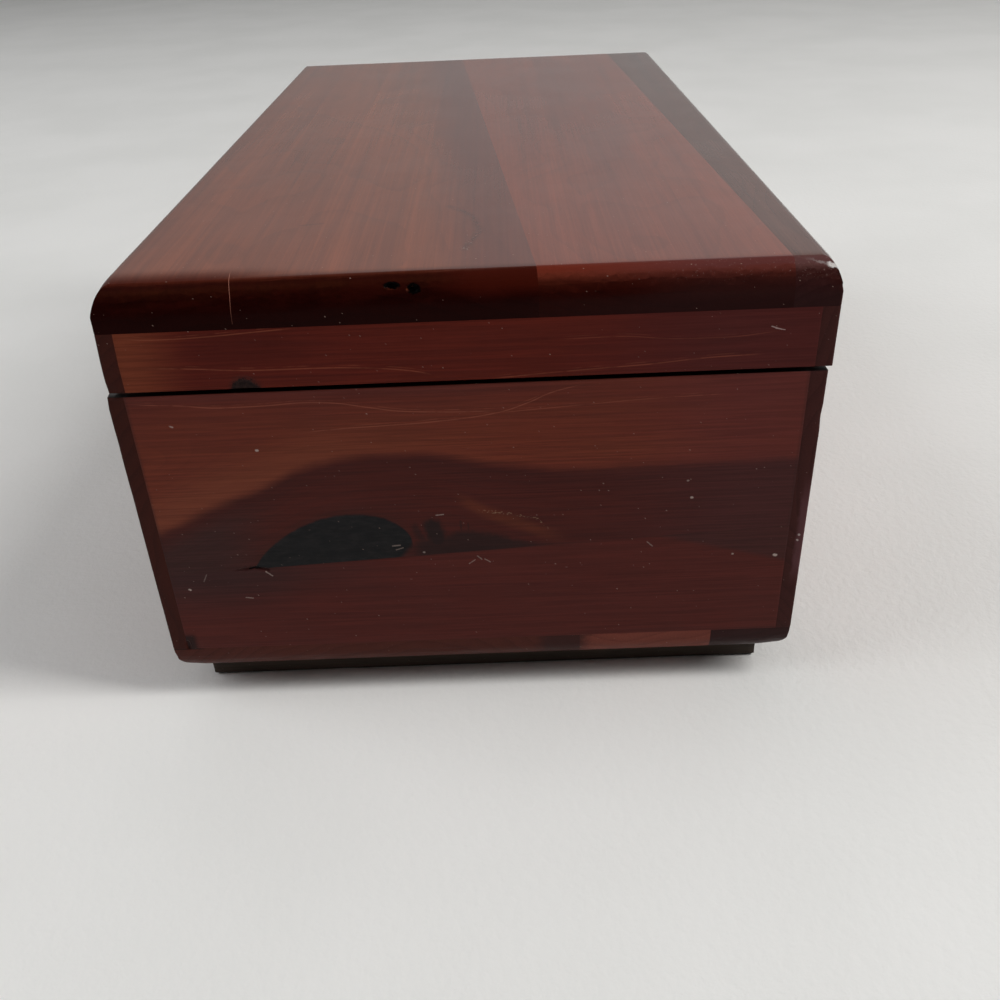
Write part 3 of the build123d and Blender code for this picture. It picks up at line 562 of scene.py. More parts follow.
def paint_lid_rail(c, colour):
    g = c.g
    y, z = c.y, c.z
    warm = g.step(y, -47.0, -60.0)
    colour = g.mix(g.mul(warm, 0.92), colour, (0.172, 0.0380, 0.0165))
    cool = g.mul(g.step(y, -52.0, -42.0), g.step(y, -25.0, -36.0))
    colour = g.mix(g.prod(cool, g.step(z, 73.0, 77.0), 0.6), colour, (0.066, 0.0070, 0.0040))
    right = g.step(y, 10.0, 45.0)
    colour = g.mix(g.mul(right, 0.75), colour, (0.072, 0.0145, 0.0138))
    l1 = g.vein(y, z, [(-58, 74.6), (-50.5, 74.3), (-38.6, 73.5), (-24.9, 73.4), (-16.0, 72.9), (-9.6, 72.0), (-5.3, 70.5)], 68, 78, 0.17)
    l2 = g.vein(y, z, [(-60, 80.1), (-53, 79.7), (-45, 79.9), (-37, 80.4), (-29, 80.9)], 76, 82, 0.17)
    l3 = g.vein(y, z, [(2.0, 70.2), (14.4, 71.0), (22, 71.4), (29.8, 71.8), (40.0, 72.6), (50, 72.9)], 68, 78, 0.16)
    l4 = g.vein(y, z, [(14, 77.0), (24, 77.1), (34, 76.3), (42, 76.2), (52, 77.0)], 74, 80, 0.13)
    lines = g.m("MAXIMUM", g.m("MAXIMUM", l1, l2), g.m("MAXIMUM", g.mul(l3, 0.9), g.mul(l4, 0.6)))
    colour = g.mix(g.mul(lines, 0.42), colour, (0.29, 0.082, 0.042))
    # half knot that the saw cut through
    kx = g.m("DIVIDE", g.add(y, 40.2), g.mad(g.step(y, -41.0, -38.5), 0.7, 2.0))
    kz = g.m("DIVIDE", g.sub(z, 69.9), 2.15)
    kd = g.m("SQRT", g.add(g.mul(kx, kx), g.mul(kz, kz)))
    mott = g.noise(g.vec(0.0, y, z), 1.3, 3.0, 0.65)
    kd = g.add(kd, g.mul(g.sub(mott, 0.5), 0.75))
    shade = g.mul(g.step(kd, 1.55, 1.0), 0.5)
    colour = g.mix(shade, colour, (0.050, 0.0110, 0.0080))
    core = g.mix(g.step(mott, 0.35, 0.65), (0.0075, 0.0045, 0.0045), (0.0240, 0.0120, 0.0100))
    return g.mix(g.mul(g.step(kd, 1.10, 0.86), 0.94), colour, core)


def late_lid_rail(c, colour):
    g = c.g
    y, z = c.y, c.z
    sc = g.m("MAXIMUM", g.seg(y, z, (50.2, 77.85), (51.9, 77.25), 0.02, 0.15), g.seg(y, z, (50.9, 77.45), (52.5, 77.15), 0.01, 0.11))
    return g.mix(g.mul(sc, 0.8), colour, (0.45, 0.32, 0.30))


def with_late(paint, late):
    def f(c, colour):
        c.late_paint = late
        return paint(c, colour)
    return f


def end_field(c):
    """Grain of the right end: lines that follow the arch, and flatten out towards the saw cut."""
    g = c.g
    arch = g.curve(c.y, ARCH, 36.0, 60.0)
    w = g.step(c.z, 64.0, 55.0)
    return g.sub(c.z, g.mul(g.sub(arch, 52.0), w))


def flat_field(slope):
    def f(c):
        return c.g.add(c.z, c.g.mul(c.y, slope))
    return f


outer_end = dict(rough=(0.36, 0.48), spec=0.125, bump_mm=0.04, dust=0.55, threads=0.25)
assign("right_end_upper_stave", board("cedar_right_end_upper", "y", (60, 86), 1.9, 1, inner=inward("x", -1), field=end_field, ring=0.22, rim=69.3,
                                      light=(0.153, 0.0290, 0.0125), mid=(0.125, 0.0205, 0.0105), dark=(0.086, 0.0135, 0.0085),
                                      paint=with_late(paint_right_upper, late_right_upper), **outer_end))
assign("right_end_lower_stave", board("cedar_right_end_lower", "y", (180, -40), 2.4, 2, light=(0.087, 0.0135, 0.0092), field=flat_field(0.02), ring=0.2,
                                      mid=(0.078, 0.0118, 0.0084), dark=(0.056, 0.0092, 0.0070), inner=inward("x", -1),
                                      paint=paint_right_lower, **outer_end))
assign("lid_right_rail", board("cedar_lid_right_rail", "y", (150, 110), 2.0, 3, light=(0.104, 0.0125, 0.0065), field=flat_field(0.01), ring=0.2,
                               mid=(0.091, 0.0102, 0.0056), dark=(0.064, 0.0075, 0.0048), inner=inward("x", -1), rim=70.1,
                               paint=with_late(paint_lid_rail, late_lid_rail), **dict(outer_end, spec=0.08)))
assign("left_end_upper_stave", board("cedar_left_end_upper", "y", (-40, 20), 2.2, 4, inner=inward("x", 1), rim=69.3, **outer_end))
assign("left_end_lower_stave", board("cedar_left_end_lower", "y", (-180, 90), 2.6, 5, inner=inward("x", 1), **outer_end))
assign("lid_left_rail", board("cedar_lid_left_rail", "y", (-60, 30), 2.2, 6, inner=inward("x", 1), rim=70.1, **outer_end))


# ---------------------------------------------------------------- top boards
def paint_top_front(c, colour):
    g = c.g
    x, y = c.x, c.y
    # long streaks, a darker and cooler band towards the middle board
    s = g.noise(g.vec(g.mul(x, 0.0035), g.mul(y, 0.22), 4.0), 1.0, 3.0, 0.6)
    colour = g.mix(g.mul(g.step(s, 0.50, 0.68), 0.32), colour, (0.250, 0.060, 0.0210))
    colour = g.mix(g.mul(g.step(s, 0.50, 0.36), 0.26), colour, (0.110, 0.027, 0.0150))
    cool = g.mul(g.step(g.sub(y, g.mul(x, 0.075)), -17.0, -3.0), 0.72)
    colour = g.mix(cool, colour, (0.092, 0.0240, 0.0205))
    left = g.mul(g.step(y, -52.0, -62.0), 0.35)
    colour = g.mix(left, colour, (0.10, 0.030, 0.020))
    # a short dark dash in the lacquer
    dash = g.seg(x, y, (83.0, -32.6), (82.2, -28.4), 0.05, 0.55)
    colour = g.mix(g.mul(dash, 0.35), colour, (0.05, 0.014, 0.010))
    rim = g.m("MAXIMUM", g.mul(g.step(x, 109.0, 111.5), 0.85), g.prod(g.step(x, 105.0, 111.0), g.step(y, -27.0, -44.0), 0.92))
    return g.mix(g.mul(rim, g.step(g.m("ABSOLUTE", g.normal()[2]), 0.5, 0.8)), colour, (0.060, 0.0095, 0.0050))


def paint_top_middle(c, colour):
    g = c.g
    x, y = c.x, c.y
    g1 = g.mad(g.add(x, 114.3), (12.9 + 4.2) / 228.6, -4.2 + YS)
    g2 = g.mad(g.add(x, 114.3), (55.2 - 46.9) / 228.6, 46.9 + YS)
    edge = g.m("MAXIMUM", g.step(g.sub(y, g1), 7.0, 0.0), g.mul(g.step(g.sub(g2, y), 7.0, 0.5), 0.8))
    colour = g.mix(g.mul(edge, 0.40), colour, (0.215, 0.047, 0.0240))
    mid = g.mul(g.step(g.sub(y, g1), 9.0, 24.0), g.step(g.sub(g2, y), 5.0, 18.0))
    n = g.noise(g.vec(g.mul(x, 0.012), g.mul(y, 0.10), 7.0), 1.0, 3.0, 0.6)
    return g.mix(g.prod(mid, g.step(n, 0.35, 0.6), 0.55), colour, (0.125, 0.036, 0.0270))


def edge_grain(c, colour):
    """The rounded near edge: end grain soaked dark, a little paler along its foot."""
    g = c.g
    v = g.noise(g.vec(0.0, g.mul(c.y, 0.9), g.mul(c.z, 0.5)), 1.0, 3.0, 0.6)
    colour = g.tint(colour, g.mad(v, 0.5, 0.75))
    red = g.step(g.noise(g.vec(0.0, g.mul(c.y, 0.10), g.mul(c.z, 0.25)), 1.0, 3.0, 0.6), 0.45, 0.62)
    colour = g.mix(g.prod(red, g.step(c.cross, 0.5, 0.9), g.step(c.z, 83.0, 86.0), 0.45), colour, (0.034, 0.0040, 0.0022))
    foot = g.prod(g.step(c.z, 85.6, 82.3), g.step(c.cross, 0.5, 1.0), g.mad(g.step(c.y, 0.0, 35.0), 0.22, 0.30))
    tone = g.mix(g.step(c.y, 0.0, 35.0), (0.0190, 0.0042, 0.0032), (0.0250, 0.0095, 0.0095))
    return g.mix(foot, colour, tone)


def rubbed(c, colour, y0, y1, amount, floor=0.60):
    """Fine specks where the lacquer is rubbed through on the upper part of the near edge."""
    g = c.g
    n = g.noise(g.vec(c.x, c.y, c.z), 1.9, 4.0, 0.75)
    k = g.prod(g.step(n, floor, floor + 0.08), g.step(c.y, y0, y1), g.step(c.x, 110.9, 111.9), g.step(c.z, 85.2, 87.2), amount)
    return g.mix(k, colour, (0.300, 0.190, 0.170))


def late_top_front(c, colour):
    g = c.g
    x, y, z = c.x, c.y, c.z
    # the lacquer is worn thin towards the near left corner
    c.coat_left = g.sub(1.0, g.prod(g.step(x, 104.6, 113.6), g.step(y, -27.0, -46.0), 0.95))
    colour = edge_grain(c, colour)
    near_glue = g.prod(g.step(y, -8.0, 2.0), g.step(z, 84.2, 87.0), g.step(c.cross, 0.3, 0.7), 0.75)
    colour = g.mix(near_glue, colour, (0.056, 0.0065, 0.0030))
    # fine upright scratch over the near edge
    lean = g.sub(y, g.mul(g.m("MINIMUM", g.sub(x, 113.4), 0.0), 0.13))
    sc = g.prod(g.seg(lean, z, (-39.75, 90.0), (-40.0, 82.0), 0.01, 0.070), g.step(x, 107.5, 110.0), g.step(z, 82.0, 87.6, 0.25, 1.0))
    colour = g.mix(g.mul(sc, 0.85), colour, (0.42, 0.17, 0.12))
    # two small black pits on the near edge
    wob = g.mul(g.sub(g.noise(g.vec(x, y, z), 1.6, 3.0, 0.6), 0.5), 0.7)
    for yy, zz, ru, rv in ((-13.0, 87.15, 1.40, 0.62), (-9.4, 86.6, 1.20, 0.85)):
        du, dv = g.m("DIVIDE", g.sub(y, yy), ru), g.m("DIVIDE", g.sub(z, zz), rv)
        d = g.add(g.m("SQRT", g.add(g.mul(du, du), g.mul(dv, dv))), wob)
        colour = g.mix(g.mul(g.step(d, 1.15, 0.80), g.step(x, 110.5, 111.5)), colour, (0.0012, 0.0006, 0.0006))
    # crescent scuff with a few light specks
    ang = []
    for a, b in (((74.0, -4.6), (80.5, -0.2)), ((80.5, -0.2), (90.0, 1.6)), ((90.0, 1.6), (101.0, -1.2))):
        ang.append(g.seg(x, y, a, b, 0.1, 1.3))
    scuff = g.m("MAXIMUM", g.m("MAXIMUM", ang[0], ang[1]), ang[2])
    mott = g.noise(g.vec(x, y, 0.0), 0.8, 3.0, 0.7)
    flat = g.step(z, 86.0, 88.0)
    colour = g.mix(g.prod(scuff, g.step(mott, 0.30, 0.62), flat, 0.62), colour, (0.062, 0.0170, 0.0120))
    light = g.prod(scuff, g.step(g.noise(g.vec(x, y, 3.0), 2.2, 2.0, 0.6), 0.60, 0.70), g.step(x, 88.0, 97.0), flat, 0.6)
    return g.mix(light, colour, (0.42, 0.32, 0.28))


def late_top_middle(c, colour):
    g = c.g
    colour = edge_grain(c, colour)
    bare = g.sub(1.0, c.cross)
    on_round = g.prod(bare, g.step(c.x, 110.2, 111.4))
    colour = g.mix(g.mul(on_round, 0.85), colour, (0.132, 0.0185, 0.0095))
    colour = g.mix(g.prod(on_round, g.step(c.y, 14.0, 44.0), 0.85), colour, (0.110, 0.0330, 0.0310))
    low = g.prod(g.step(c.y, 24.0, 40.0), g.step(c.z, 88.0, 85.0), g.step(c.z, 82.0, 84.5), 0.50)
    colour = g.mix(low, colour, (0.036, 0.0120, 0.0110))
    return rubbed(c, colour, 20.0, 46.0, 0.38, 0.60)


def late_top_back(c, colour):
    g = c.g
    x, y, z = c.x, c.y, c.z
    colour = edge_grain(c, colour)
    on_round = g.prod(g.sub(1.0, c.cross), g.step(x, 110.6, 111.6))
    tone = g.mix(g.step(z, 86.4, 87.8), (0.064, 0.0220, 0.0220), (0.112, 0.0460, 0.0450))
    colour = g.mix(g.mul(on_round, 0.90), colour, tone)
    colour = rubbed(c, colour, 46.0, 50.0, 0.45, 0.58)
    # lacquer chipped white on the corner itself, thinning out along the edge; the near-white spot is also a painted
    # highlight, where the light glints on the corner
    d = g.add(g.m("ABSOLUTE", g.sub(z, g.mad(g.sub(y, 59.0), -0.25, 87.68))), g.mul(g.sub(g.noise(g.vec(x, y, z), 1.6, 3.0, 0.7), 0.5), 0.9))
    spot = g.prod(g.step(d, 0.42, 0.16), g.step(y, 58.3, 59.1), g.step(y, 61.3, 60.5))
    thin = g.prod(g.step(d, 0.26, 0.05), g.step(y, 54.5, 58.6), 0.24)
    spot = g.mul(g.m("MAXIMUM", spot, thin), g.step(x, 111.2, 112.2))
    return g.mix(g.mul(spot, 0.9), colour, (0.80, 0.76, 0.74))


top = dict(rough=(0.34, 0.44), spec=0.02, bump_mm=0.010, end_k=1.0, dust=0.8, coat=0.875, coat_rough=0.13, coat_end=0.015, threads=0.07)
assign("lid_top_front_stave", board("cedar_top_front", "x", (-34, -20), 2.6, 11, light=(0.215, 0.051, 0.0190), mid=(0.172, 0.041, 0.0165),
                                    dark=(0.100, 0.027, 0.0140), inner=inward("z", -1), end=(0.0135, 0.0011, 0.0007), end_mask=(0.05, 0.72, 0.97),
                                    paint=with_late(paint_top_front, late_top_front), **top))
assign("lid_top_middle_stave", board("cedar_top_middle", "x", (40, 150), 2.2, 12, light=(0.200, 0.046, 0.0250), mid=(0.165, 0.038, 0.0230),
                                     dark=(0.110, 0.029, 0.0195), inner=inward("z", -1), end=(0.021, 0.0020, 0.0010), end_mask=(0.66, 0.99),
                                     paint=with_late(paint_top_middle, late_top_middle), **top))
assign("lid_top_back_stave", board("cedar_top_back", "x", (75, 30), 1.8, 13, light=(0.105, 0.038, 0.0260), mid=(0.082, 0.031, 0.0230),
                                   dark=(0.055, 0.021, 0.0160), inner=inward("z", -1), end=(0.034, 0.0098, 0.0094), end_mask=(0.70, 0.98),
                                   paint=with_late(lambda c, col: col, late_top_back), **top))

# ---------------------------------------------------------------- front, back, their lid rails
side = dict(rough=(0.34, 0.44), spec=0.08, bump_mm=0.025, coat=0.9, coat_rough=0.16, coat_end=0.03, end=(0.036, 0.0065, 0.0045), end_k=0.94,
            end_mask=(0.12, 0.40), coat_mask=(0.03, 0.30), bare_corner=True)


def knots(*spots):
    """Sound red knots on a long face, each (x, z, half length, half height)."""
    def f(c, colour):
        g = c.g
        for x0, z0, a, b in spots:
            du, dv = g.m("DIVIDE", g.sub(c.x, x0), a), g.m("DIVIDE", g.sub(c.z, z0), b)
            d = g.m("SQRT", g.add(g.mul(du, du), g.mul(dv, dv)))
            d = g.add(d, g.mul(g.sub(g.noise(g.vec(c.x, c.y, c.z), 0.35, 3.0, 0.6), 0.5), 0.5))
            colour = g.mix(g.mul(g.step(d, 2.6, 1.0), 0.65), colour, (0.085, 0.022, 0.014))
            rr = g.m("SINE", g.mul(d, 22.0))
            core = g.mix(g.step(rr, -0.6, 0.9), (0.030, 0.0110, 0.0080), (0.075, 0.020, 0.012))
            colour = g.mix(g.step(d, 1.08, 0.92), colour, core)
            colour = g.mix(g.step(d, 0.34, 0.2), colour, (0.012, 0.006, 0.005))
        return colour
    return f


def with_stripe(paint):
    """The far lip on the seen end is rubbed paler along its outer half, low down."""
    def late(c, colour):
        g = c.g
        n = g.mul(g.sub(g.noise(g.vec(0.0, c.y, g.mul(c.z, 0.5)), 0.7, 3.0, 0.6), 0.5), 1.6)
        k = g.prod(g.step(g.add(c.y, n), 58.9, 59.8), g.step(c.z, 23.0, 29.0), g.step(c.z, 50.0, 40.0), g.step(c.x, 113.6, 114.1), 0.85)
        colour = g.mix(k, colour, (0.098, 0.0360, 0.0400))
        nicks = g.mul(g.marks(c.y, c.z, (((59.8, 35.3), (59.9, 35.2), 0.30, 0.8), ((59.6, 34.1), (59.7, 34.0), 0.26, 0.8))), g.step(c.x, 113.6, 114.1))
        colour = g.mix(nicks, colour, (0.45, 0.36, 0.34))
        low = g.noise(g.vec(c.x, c.y, c.z), 1.5, 3.0, 0.7)
        low = g.prod(g.step(low, 0.57, 0.63), g.step(c.z, 12.5, 10.5), g.step(c.x, 111.5, 112.5), g.step(c.y, 55.0, 57.5), 0.6)
        return g.mix(low, colour, (0.50, 0.42, 0.40))
    return with_late(paint, late)


assign("front_board", board("cedar_front", "x", (-20, 22), 2.3, 21, inner=inside_y(1), rim=69.3, paint=knots((-58, 47, 7.5, 4.6)), **side))
assign("back_board", board("cedar_back", "x", (120, 60), 2.1, 22, inner=inside_y(-1), rim=69.3, paint=with_stripe(knots((20, 36, 6.0, 3.6), (-84, 55, 3.2, 2.4))), **dict(side, end=(0.042, 0.0105, 0.0100))))
assign("lid_front_rail", board("cedar_lid_front", "x", (-20, 22), 2.3, 21, inner=inside_y(1), rim=70.1, **side))
assign("lid_back_rail", board("cedar_lid_back", "x", (120, 60), 2.1, 22, inner=inside_y(-1), rim=70.1, **dict(side, end=(0.042, 0.0105, 0.0100))))


# ---------------------------------------------------------------- bottom boards and runners
def paint_bottom_front(c, colour):
    return colour


def late_bottom_front(c, colour):
    g = c.g
    # painted shade: the bottom's top face, where it shows in the gap at the front corner, darkened nearly black
    colour = g.mix(g.prod(g.step(c.y, -57.0, -59.5), g.step(c.x, 110.0, 112.0), g.step(c.z, 12.4, 12.65), 0.95), colour, (0.012, 0.0030, 0.0025))
    n = g.mul(g.sub(g.noise(g.vec(0.0, g.mul(c.y, 0.4), g.mul(c.z, 0.8)), 1.0, 3.0, 0.6), 0.5), 3.0)
    dark = g.step(g.add(c.y, n), 9.0, 11.6)
    return g.mix(g.prod(dark, g.m("ABSOLUTE", c.nl), 0.8), colour, (0.034, 0.0105, 0.0092))


def late_bottom_middle(c, colour):
    """The dark of the board beside it runs a little way in, unevenly."""
    g = c.g
    n = g.mul(g.sub(g.noise(g.vec(0.0, g.mul(c.y, 0.5), g.mul(c.z, 0.9)), 1.0, 3.0, 0.6), 0.5), 3.0)
    k = g.mul(g.step(g.add(c.y, g.sub(n, g.mul(g.sub(c.z, 9.0), 0.25))), 20.6, 17.6), g.m("ABSOLUTE", c.nl))
    return g.mix(g.mul(k, 0.75), colour, (0.034, 0.0105, 0.0092))


low = dict(rough=(0.36, 0.5), spec=0.11, bump_mm=0.05)
assign("bottom_front_stave", board("cedar_bottom_front", "x", (-20, -30), 2.0, 31, inner=inward("z", 1), end=(0.064, 0.0142, 0.0102), end_mask=(0.15, 0.5),
                                   paint=with_late(paint_bottom_front, late_bottom_front), **low))
assign("bottom_middle_stave", board("cedar_bottom_middle", "x", (40, 60), 2.0, 32, inner=inward("z", 1), end=(0.165, 0.042, 0.0290), end_mask=(0.15, 0.5),
                                    paint=with_late(paint_bottom_front, late_bottom_middle), **low))
assign("bottom_back_stave", board("cedar_bottom_back", "x", (70, -30), 2.0, 33, light=(0.08, 0.022, 0.016), mid=(0.06, 0.017, 0.013),
                                  dark=(0.045, 0.013, 0.010), inner=inward("z", 1), end=(0.025, 0.0064, 0.0064), end_mask=(0.15, 0.5), **low))
# painted shade: the runners stand in the shade under the chest, so their cedar is painted a dark, neutral brown
for k, nm in enumerate(("right_runner", "left_runner")):
    assign(nm, board("cedar_" + nm, "y", (0, -60), 2.0, 41 + k, light=(0.050, 0.034, 0.026), mid=(0.040, 0.028, 0.021),
                     dark=(0.024, 0.018, 0.014), **low))


# ---------------------------------------------------------------- the boards as worn wood
# Each board's own mesh, cut into a fine grid and eased inwards: arrises rubbed round, tiny
# grooves where boards meet, faces that are not quite flat, and the dents that the end shows.
# Every shift depends on the place alone, so boards that meet move alike and stay closed.
def smooth01(t):
    t = min(1.0, max(0.0, t))
    return t * t * (3.0 - 2.0 * t)


def seg_dist(u, v, a, b):
    du, dv = b[0] - a[0], b[1] - a[1]
    t = min(1.0, max(0.0, ((u - a[0]) * du + (v - a[1]) * dv) / (du * du + dv * dv)))
    return math.hypot(u - a[0] - t * du, v - a[1] - t * dv)


class Form:
    """Outline of one rigid half of the chest, in mm."""

    def __init__(self, lo, hi, grooves=(), dents=(), pushes=(), calm=(), wave=0.025, wear=0.055, chips=0.20, still=(), sawn=0):
        self.lo, self.hi = lo, hi
        self.grooves, self.dents, self.pushes, self.calm = grooves, dents, pushes, calm
        self.wave, self.wear, self.chips, self.still = wave, wear, chips, still
        self.sawn = sawn                                  # 1: the saw cut is on top, -1: underneath

    def shift(self, p):
        """How far the point p goes, in mm."""
        extra = Vector((0.0, 0.0, 0.0))
        for f in self.pushes:
            extra += f(p)
        s = self.worn_off(p)
        if s is None:
            return extra if extra.length > 1e-5 else None
        return s + extra

    def worn_off(self, p):
        n, w, gaps = Vector((0.0, 0.0, 0.0)), 0.0, []
        for i in range(3):
            a, b = p[i] - self.lo[i], self.hi[i] - p[i]
            if i == 2 and self.sawn == 1:
                b = FAR
            if i == 2 and self.sawn == -1:
                a = FAR
            ea, eb = math.exp(-max(a, 0.0) / 1.2), math.exp(-max(b, 0.0) / 1.2)
            n[i] = eb - ea
            w += ea + eb
            gaps.append(min(a, b))
        if w < 0.02 or n.length < 1e-6:
            return None
        n.normalize()
        w = min(1.0, w)
        gx, gy, gz = gaps
        g2 = sorted(gaps)[1]
        slow = 0.5 + 0.5 * mnoise.noise(Vector((p[0] * 0.045, p[1] * 0.06, p[2] * 0.06)))
        depth = self.wave * slow
        for c, r in self.calm:
            depth *= smooth01(((p - Vector(c)).length - r) / 3.0)
        if g2 < 1.4:
            rub = 0.5 + 0.5 * mnoise.noise(Vector((p[0] * 0.11 + 7, p[1] * 0.11, p[2] * 0.11)))
            nick = mnoise.noise(Vector((p[0] * 0.42 + 31, p[1] * 0.42, p[2] * 0.42)))
            depth += self.wear * (0.5 + rub) * smooth01(1.0 - g2 / 1.0)
            depth += self.chips * smooth01((nick - 0.28) / 0.35) * smooth01(1.0 - g2 / 1.3)
        for f, deep in self.grooves:
            d = f(p, gx, gy, gz)
            if d < 0.25:
                depth += deep * (1.0 - d / 0.25)
        for f in self.dents:
            depth += f(p, gx, gy, gz)
        s = n * (-w * depth)
        for i in self.still:
            s[i] = 0.0
        return s


FAR = 99.0


def lip_groove(mid, z0, z1):
    return lambda p, gx, gy, gz: min(abs(p.y - mid - LIP_AT), abs(p.y - mid + LIP_AT)) if gx < 1.5 and z0 < p.z < z1 else FAR


def level_groove(z0):
    return lambda p, gx, gy, gz: abs(p.z - z0) if min(gx, gy) < 1.5 else FAR


GLUE_Z = 34.25 - 0.055 * YS


def end_glue(p, gx, gy, gz):
    return abs(p.z - GLUE_Z - 0.055 * p.y) if gx < 1.5 else FAR


def top_glue(p, gx, gy, gz):
    if p.z < 82.0:
        return FAR
    t = (p.x + 114.3) / 228.6
    return min(abs(p.y - (-4.2 + YS + 17.1 * t)), abs(p.y - (46.9 + YS + 8.3 * t)))


def bottom_glue(p, gx, gy, gz):
    return min(abs(p.y - 20.0 - YS), abs(p.y - 46.5 - YS)) if p.z < 12.7 else FAR


def pits(p, gx, gy, gz):
    """Two small open pits in the end grain of the top's near edge."""
    if p.x < 111.0 or not -15.5 < p.y < -7.5:
        return 0.0
    d = 0.0
    for c, ry, rz, deep in (((113.22, -13.09, 87.29), 1.20, 0.50, 0.85), ((113.50, -9.66, 86.80), 0.95, 0.55, 0.80)):
        wob = 0.18 * mnoise.noise(p * 2.1)
        r = math.hypot((p.y - c[1]) / ry, (p.z - c[2]) / rz) + wob
        d += deep * smooth01((1.15 - r) / 0.55)
    return d


def worn_corner(p, gx, gy, gz):
    """Corner of the lid that has been knocked: small facets where the lacquer is gone."""
    k = smooth01((p.y - 51.0) / 6.0) * smooth01((p.x - 111.3) / 1.2) * smooth01((p.z - 85.0) / 1.8)
    if k <= 0.0:
        return 0.0
    return k * (0.03 + 0.07 * max(0.0, mnoise.noise(p * 1.25)) + 0.04 * max(0.0, mnoise.noise(p * 2.9)))


def half_knot(p, gx, gy, gz):
    if gx > 1.5 or p.x < 0 or p.z > 73.5 or abs(p.y + 40.0) > 4.0:
        return 0.0
    r = math.hypot((p.y + 40.0) / 2.3, (p.z - 70.0) / 2.3)
    return 0.14 * smooth01((1.0 - r) / 0.25) + 0.10 * smooth01(1.0 - abs(r - 1.0) / 0.14)


def end_crack(p, gx, gy, gz):
    if gx > 1.0 or p.x < 0 or not -49.0 < p.y < -40.0:
        return 0.0
    d = min(seg_dist(p.y, p.z, (-46.4, 32.0), (-44.4, 32.3)), seg_dist(p.y, p.z, (-44.4, 32.3), (-42.0, 31.6)))
    return 0.32 * smooth01((0.42 - d) / 0.30)


def big_knot(p, gx, gy, gz):
    """The wood round the big knot has shrunk a little away from it."""
    if gx > 1.0 or p.x < 0 or not -47.0 < p.y < -12.0 or not 29.0 < p.z < 45.0:
        return 0.0
    top = KNOT_TOP[-1][1]
    for (a, ta), (b, tb) in zip(KNOT_TOP, KNOT_TOP[1:]):
        if a <= p.y <= b:
            top = ta + (tb - ta) * (p.y - a) / (b - a)
    base = GLUE_Z + 0.055 * p.y
    inside = min(top - p.z, p.z - base, (p.y + 45.2) * 0.7, (-13.3 - p.y) * 0.9)
    rim = smooth01(1.0 - abs(inside) / 0.45)
    return 0.045 * rim + (0.030 * (0.5 + 0.5 * mnoise.noise(p * 0.7)) if inside > 0 else 0.0)


def corner_notch(p, gx, gy, gz):
    """Small gap where the end, the front board's lip and the bottom meet."""
    if gx > 1.2 or p.x < 0 or p.z > 17.0:
        return 0.0
    r = math.hypot((p.y + 61.1) / 0.55, (p.z - 13.75) / 1.25)
    return 0.30 * smooth01((1.1 - r) / 0.5)


def soft_roll(p):
    """The flat of the top rolls gently over towards its edges, most at the near end, and the
    lid's front leans in a little towards its top."""
    rx, ry = HALF_L - abs(p.x), HALF_W - abs(p.y - LID_MID)
    near = smooth01((p.x - 60.0) / 45.0)
    left = smooth01((-8.0 - p.y) / 45.0)
    fx, fy = max(0.0, 1.0 - rx / (5.2 + 2.6 * near * left)) ** 2, max(0.0, 1.0 - ry / 6.0) ** 2
    ax = 0.22 + near * (0.72 * left + 0.30 * smooth01((p.y - 46.0) / 12.0))
    k = 1.0 - (1.0 - ax * fx) * (1.0 - 0.12 * fy)
    lean = 0.30 * smooth01((-54.0 - p.y) / 8.0)
    return Vector((0.0, lean * smooth01((p.z - 74.0) / 9.0), -k * smooth01((p.z - 83.0) / 4.0)))


def blunt_corner(p):
    """The seen end's bottom corners, knocked rounder than the others."""
    k = 0.95 * smooth01(1.0 - (p - Vector((HALF_L, YS - HALF_W, 6.35))).length / 6.5)
    m = 0.85 * smooth01(1.0 - (p - Vector((HALF_L, YS + HALF_W, 6.35))).length / 7.0)
    return Vector((-0.25, 0.90, 0.30)) * k + Vector((-0.20, -0.75, 0.50)) * m


def cut_corner(mid, z0, k):
    """Corner at the saw cut, at the front of the seen end, knocked round."""
    c = Vector((HALF_L, mid - HALF_W, z0))

    def f(p, gx, gy, gz):
        d = (p - c).length
        return k * smooth01(1.0 - d / 2.6)
    return f


BODY_FORM = Form((-HALF_L, YS - HALF_W, 6.35), (HALF_L, YS + HALF_W, 69.3),
                 grooves=((lip_groove(YS, 12.7, 70.0), 0.035), (level_groove(12.7), 0.035), (end_glue, 0.010), (bottom_glue, 0.02)),
                 dents=(end_crack, big_knot, corner_notch, cut_corner(YS, 69.3, 0.22)), pushes=(blunt_corner,),
                 calm=(((0.0, YS - HALF_W, 56.0), 12.0),), sawn=1)
LID_FORM = Form((-HALF_L, LID_MID - HALF_W, 70.1), (HALF_L, LID_MID + HALF_W, 88.9),
                grooves=((lip_groove(LID_MID, 70.0, 81.0), 0.035), (level_groove(81.0), 0.035), (top_glue, 0.015)),
                dents=(pits, worn_corner, half_knot, cut_corner(LID_MID, 70.1, 0.15)), pushes=(soft_roll,), sawn=-1)
RUNNER_FORMS = {"right_runner": Form((88.95, YS - 58.0, 0.0), (107.95, YS + 58.0, 6.35), wave=0.10, wear=0.22, chips=0.5, still=(2,)),
                "left_runner": Form((-107.95, YS - 58.0, 0.0), (-88.95, YS + 58.0, 6.35), wave=0.10, wear=0.22, chips=0.5, still=(2,))}


def span(a, b, d):
    n = max(1, int(round((b - a) / d)))
    return [a + (b - a) * i / n for i in range(n + 1)]


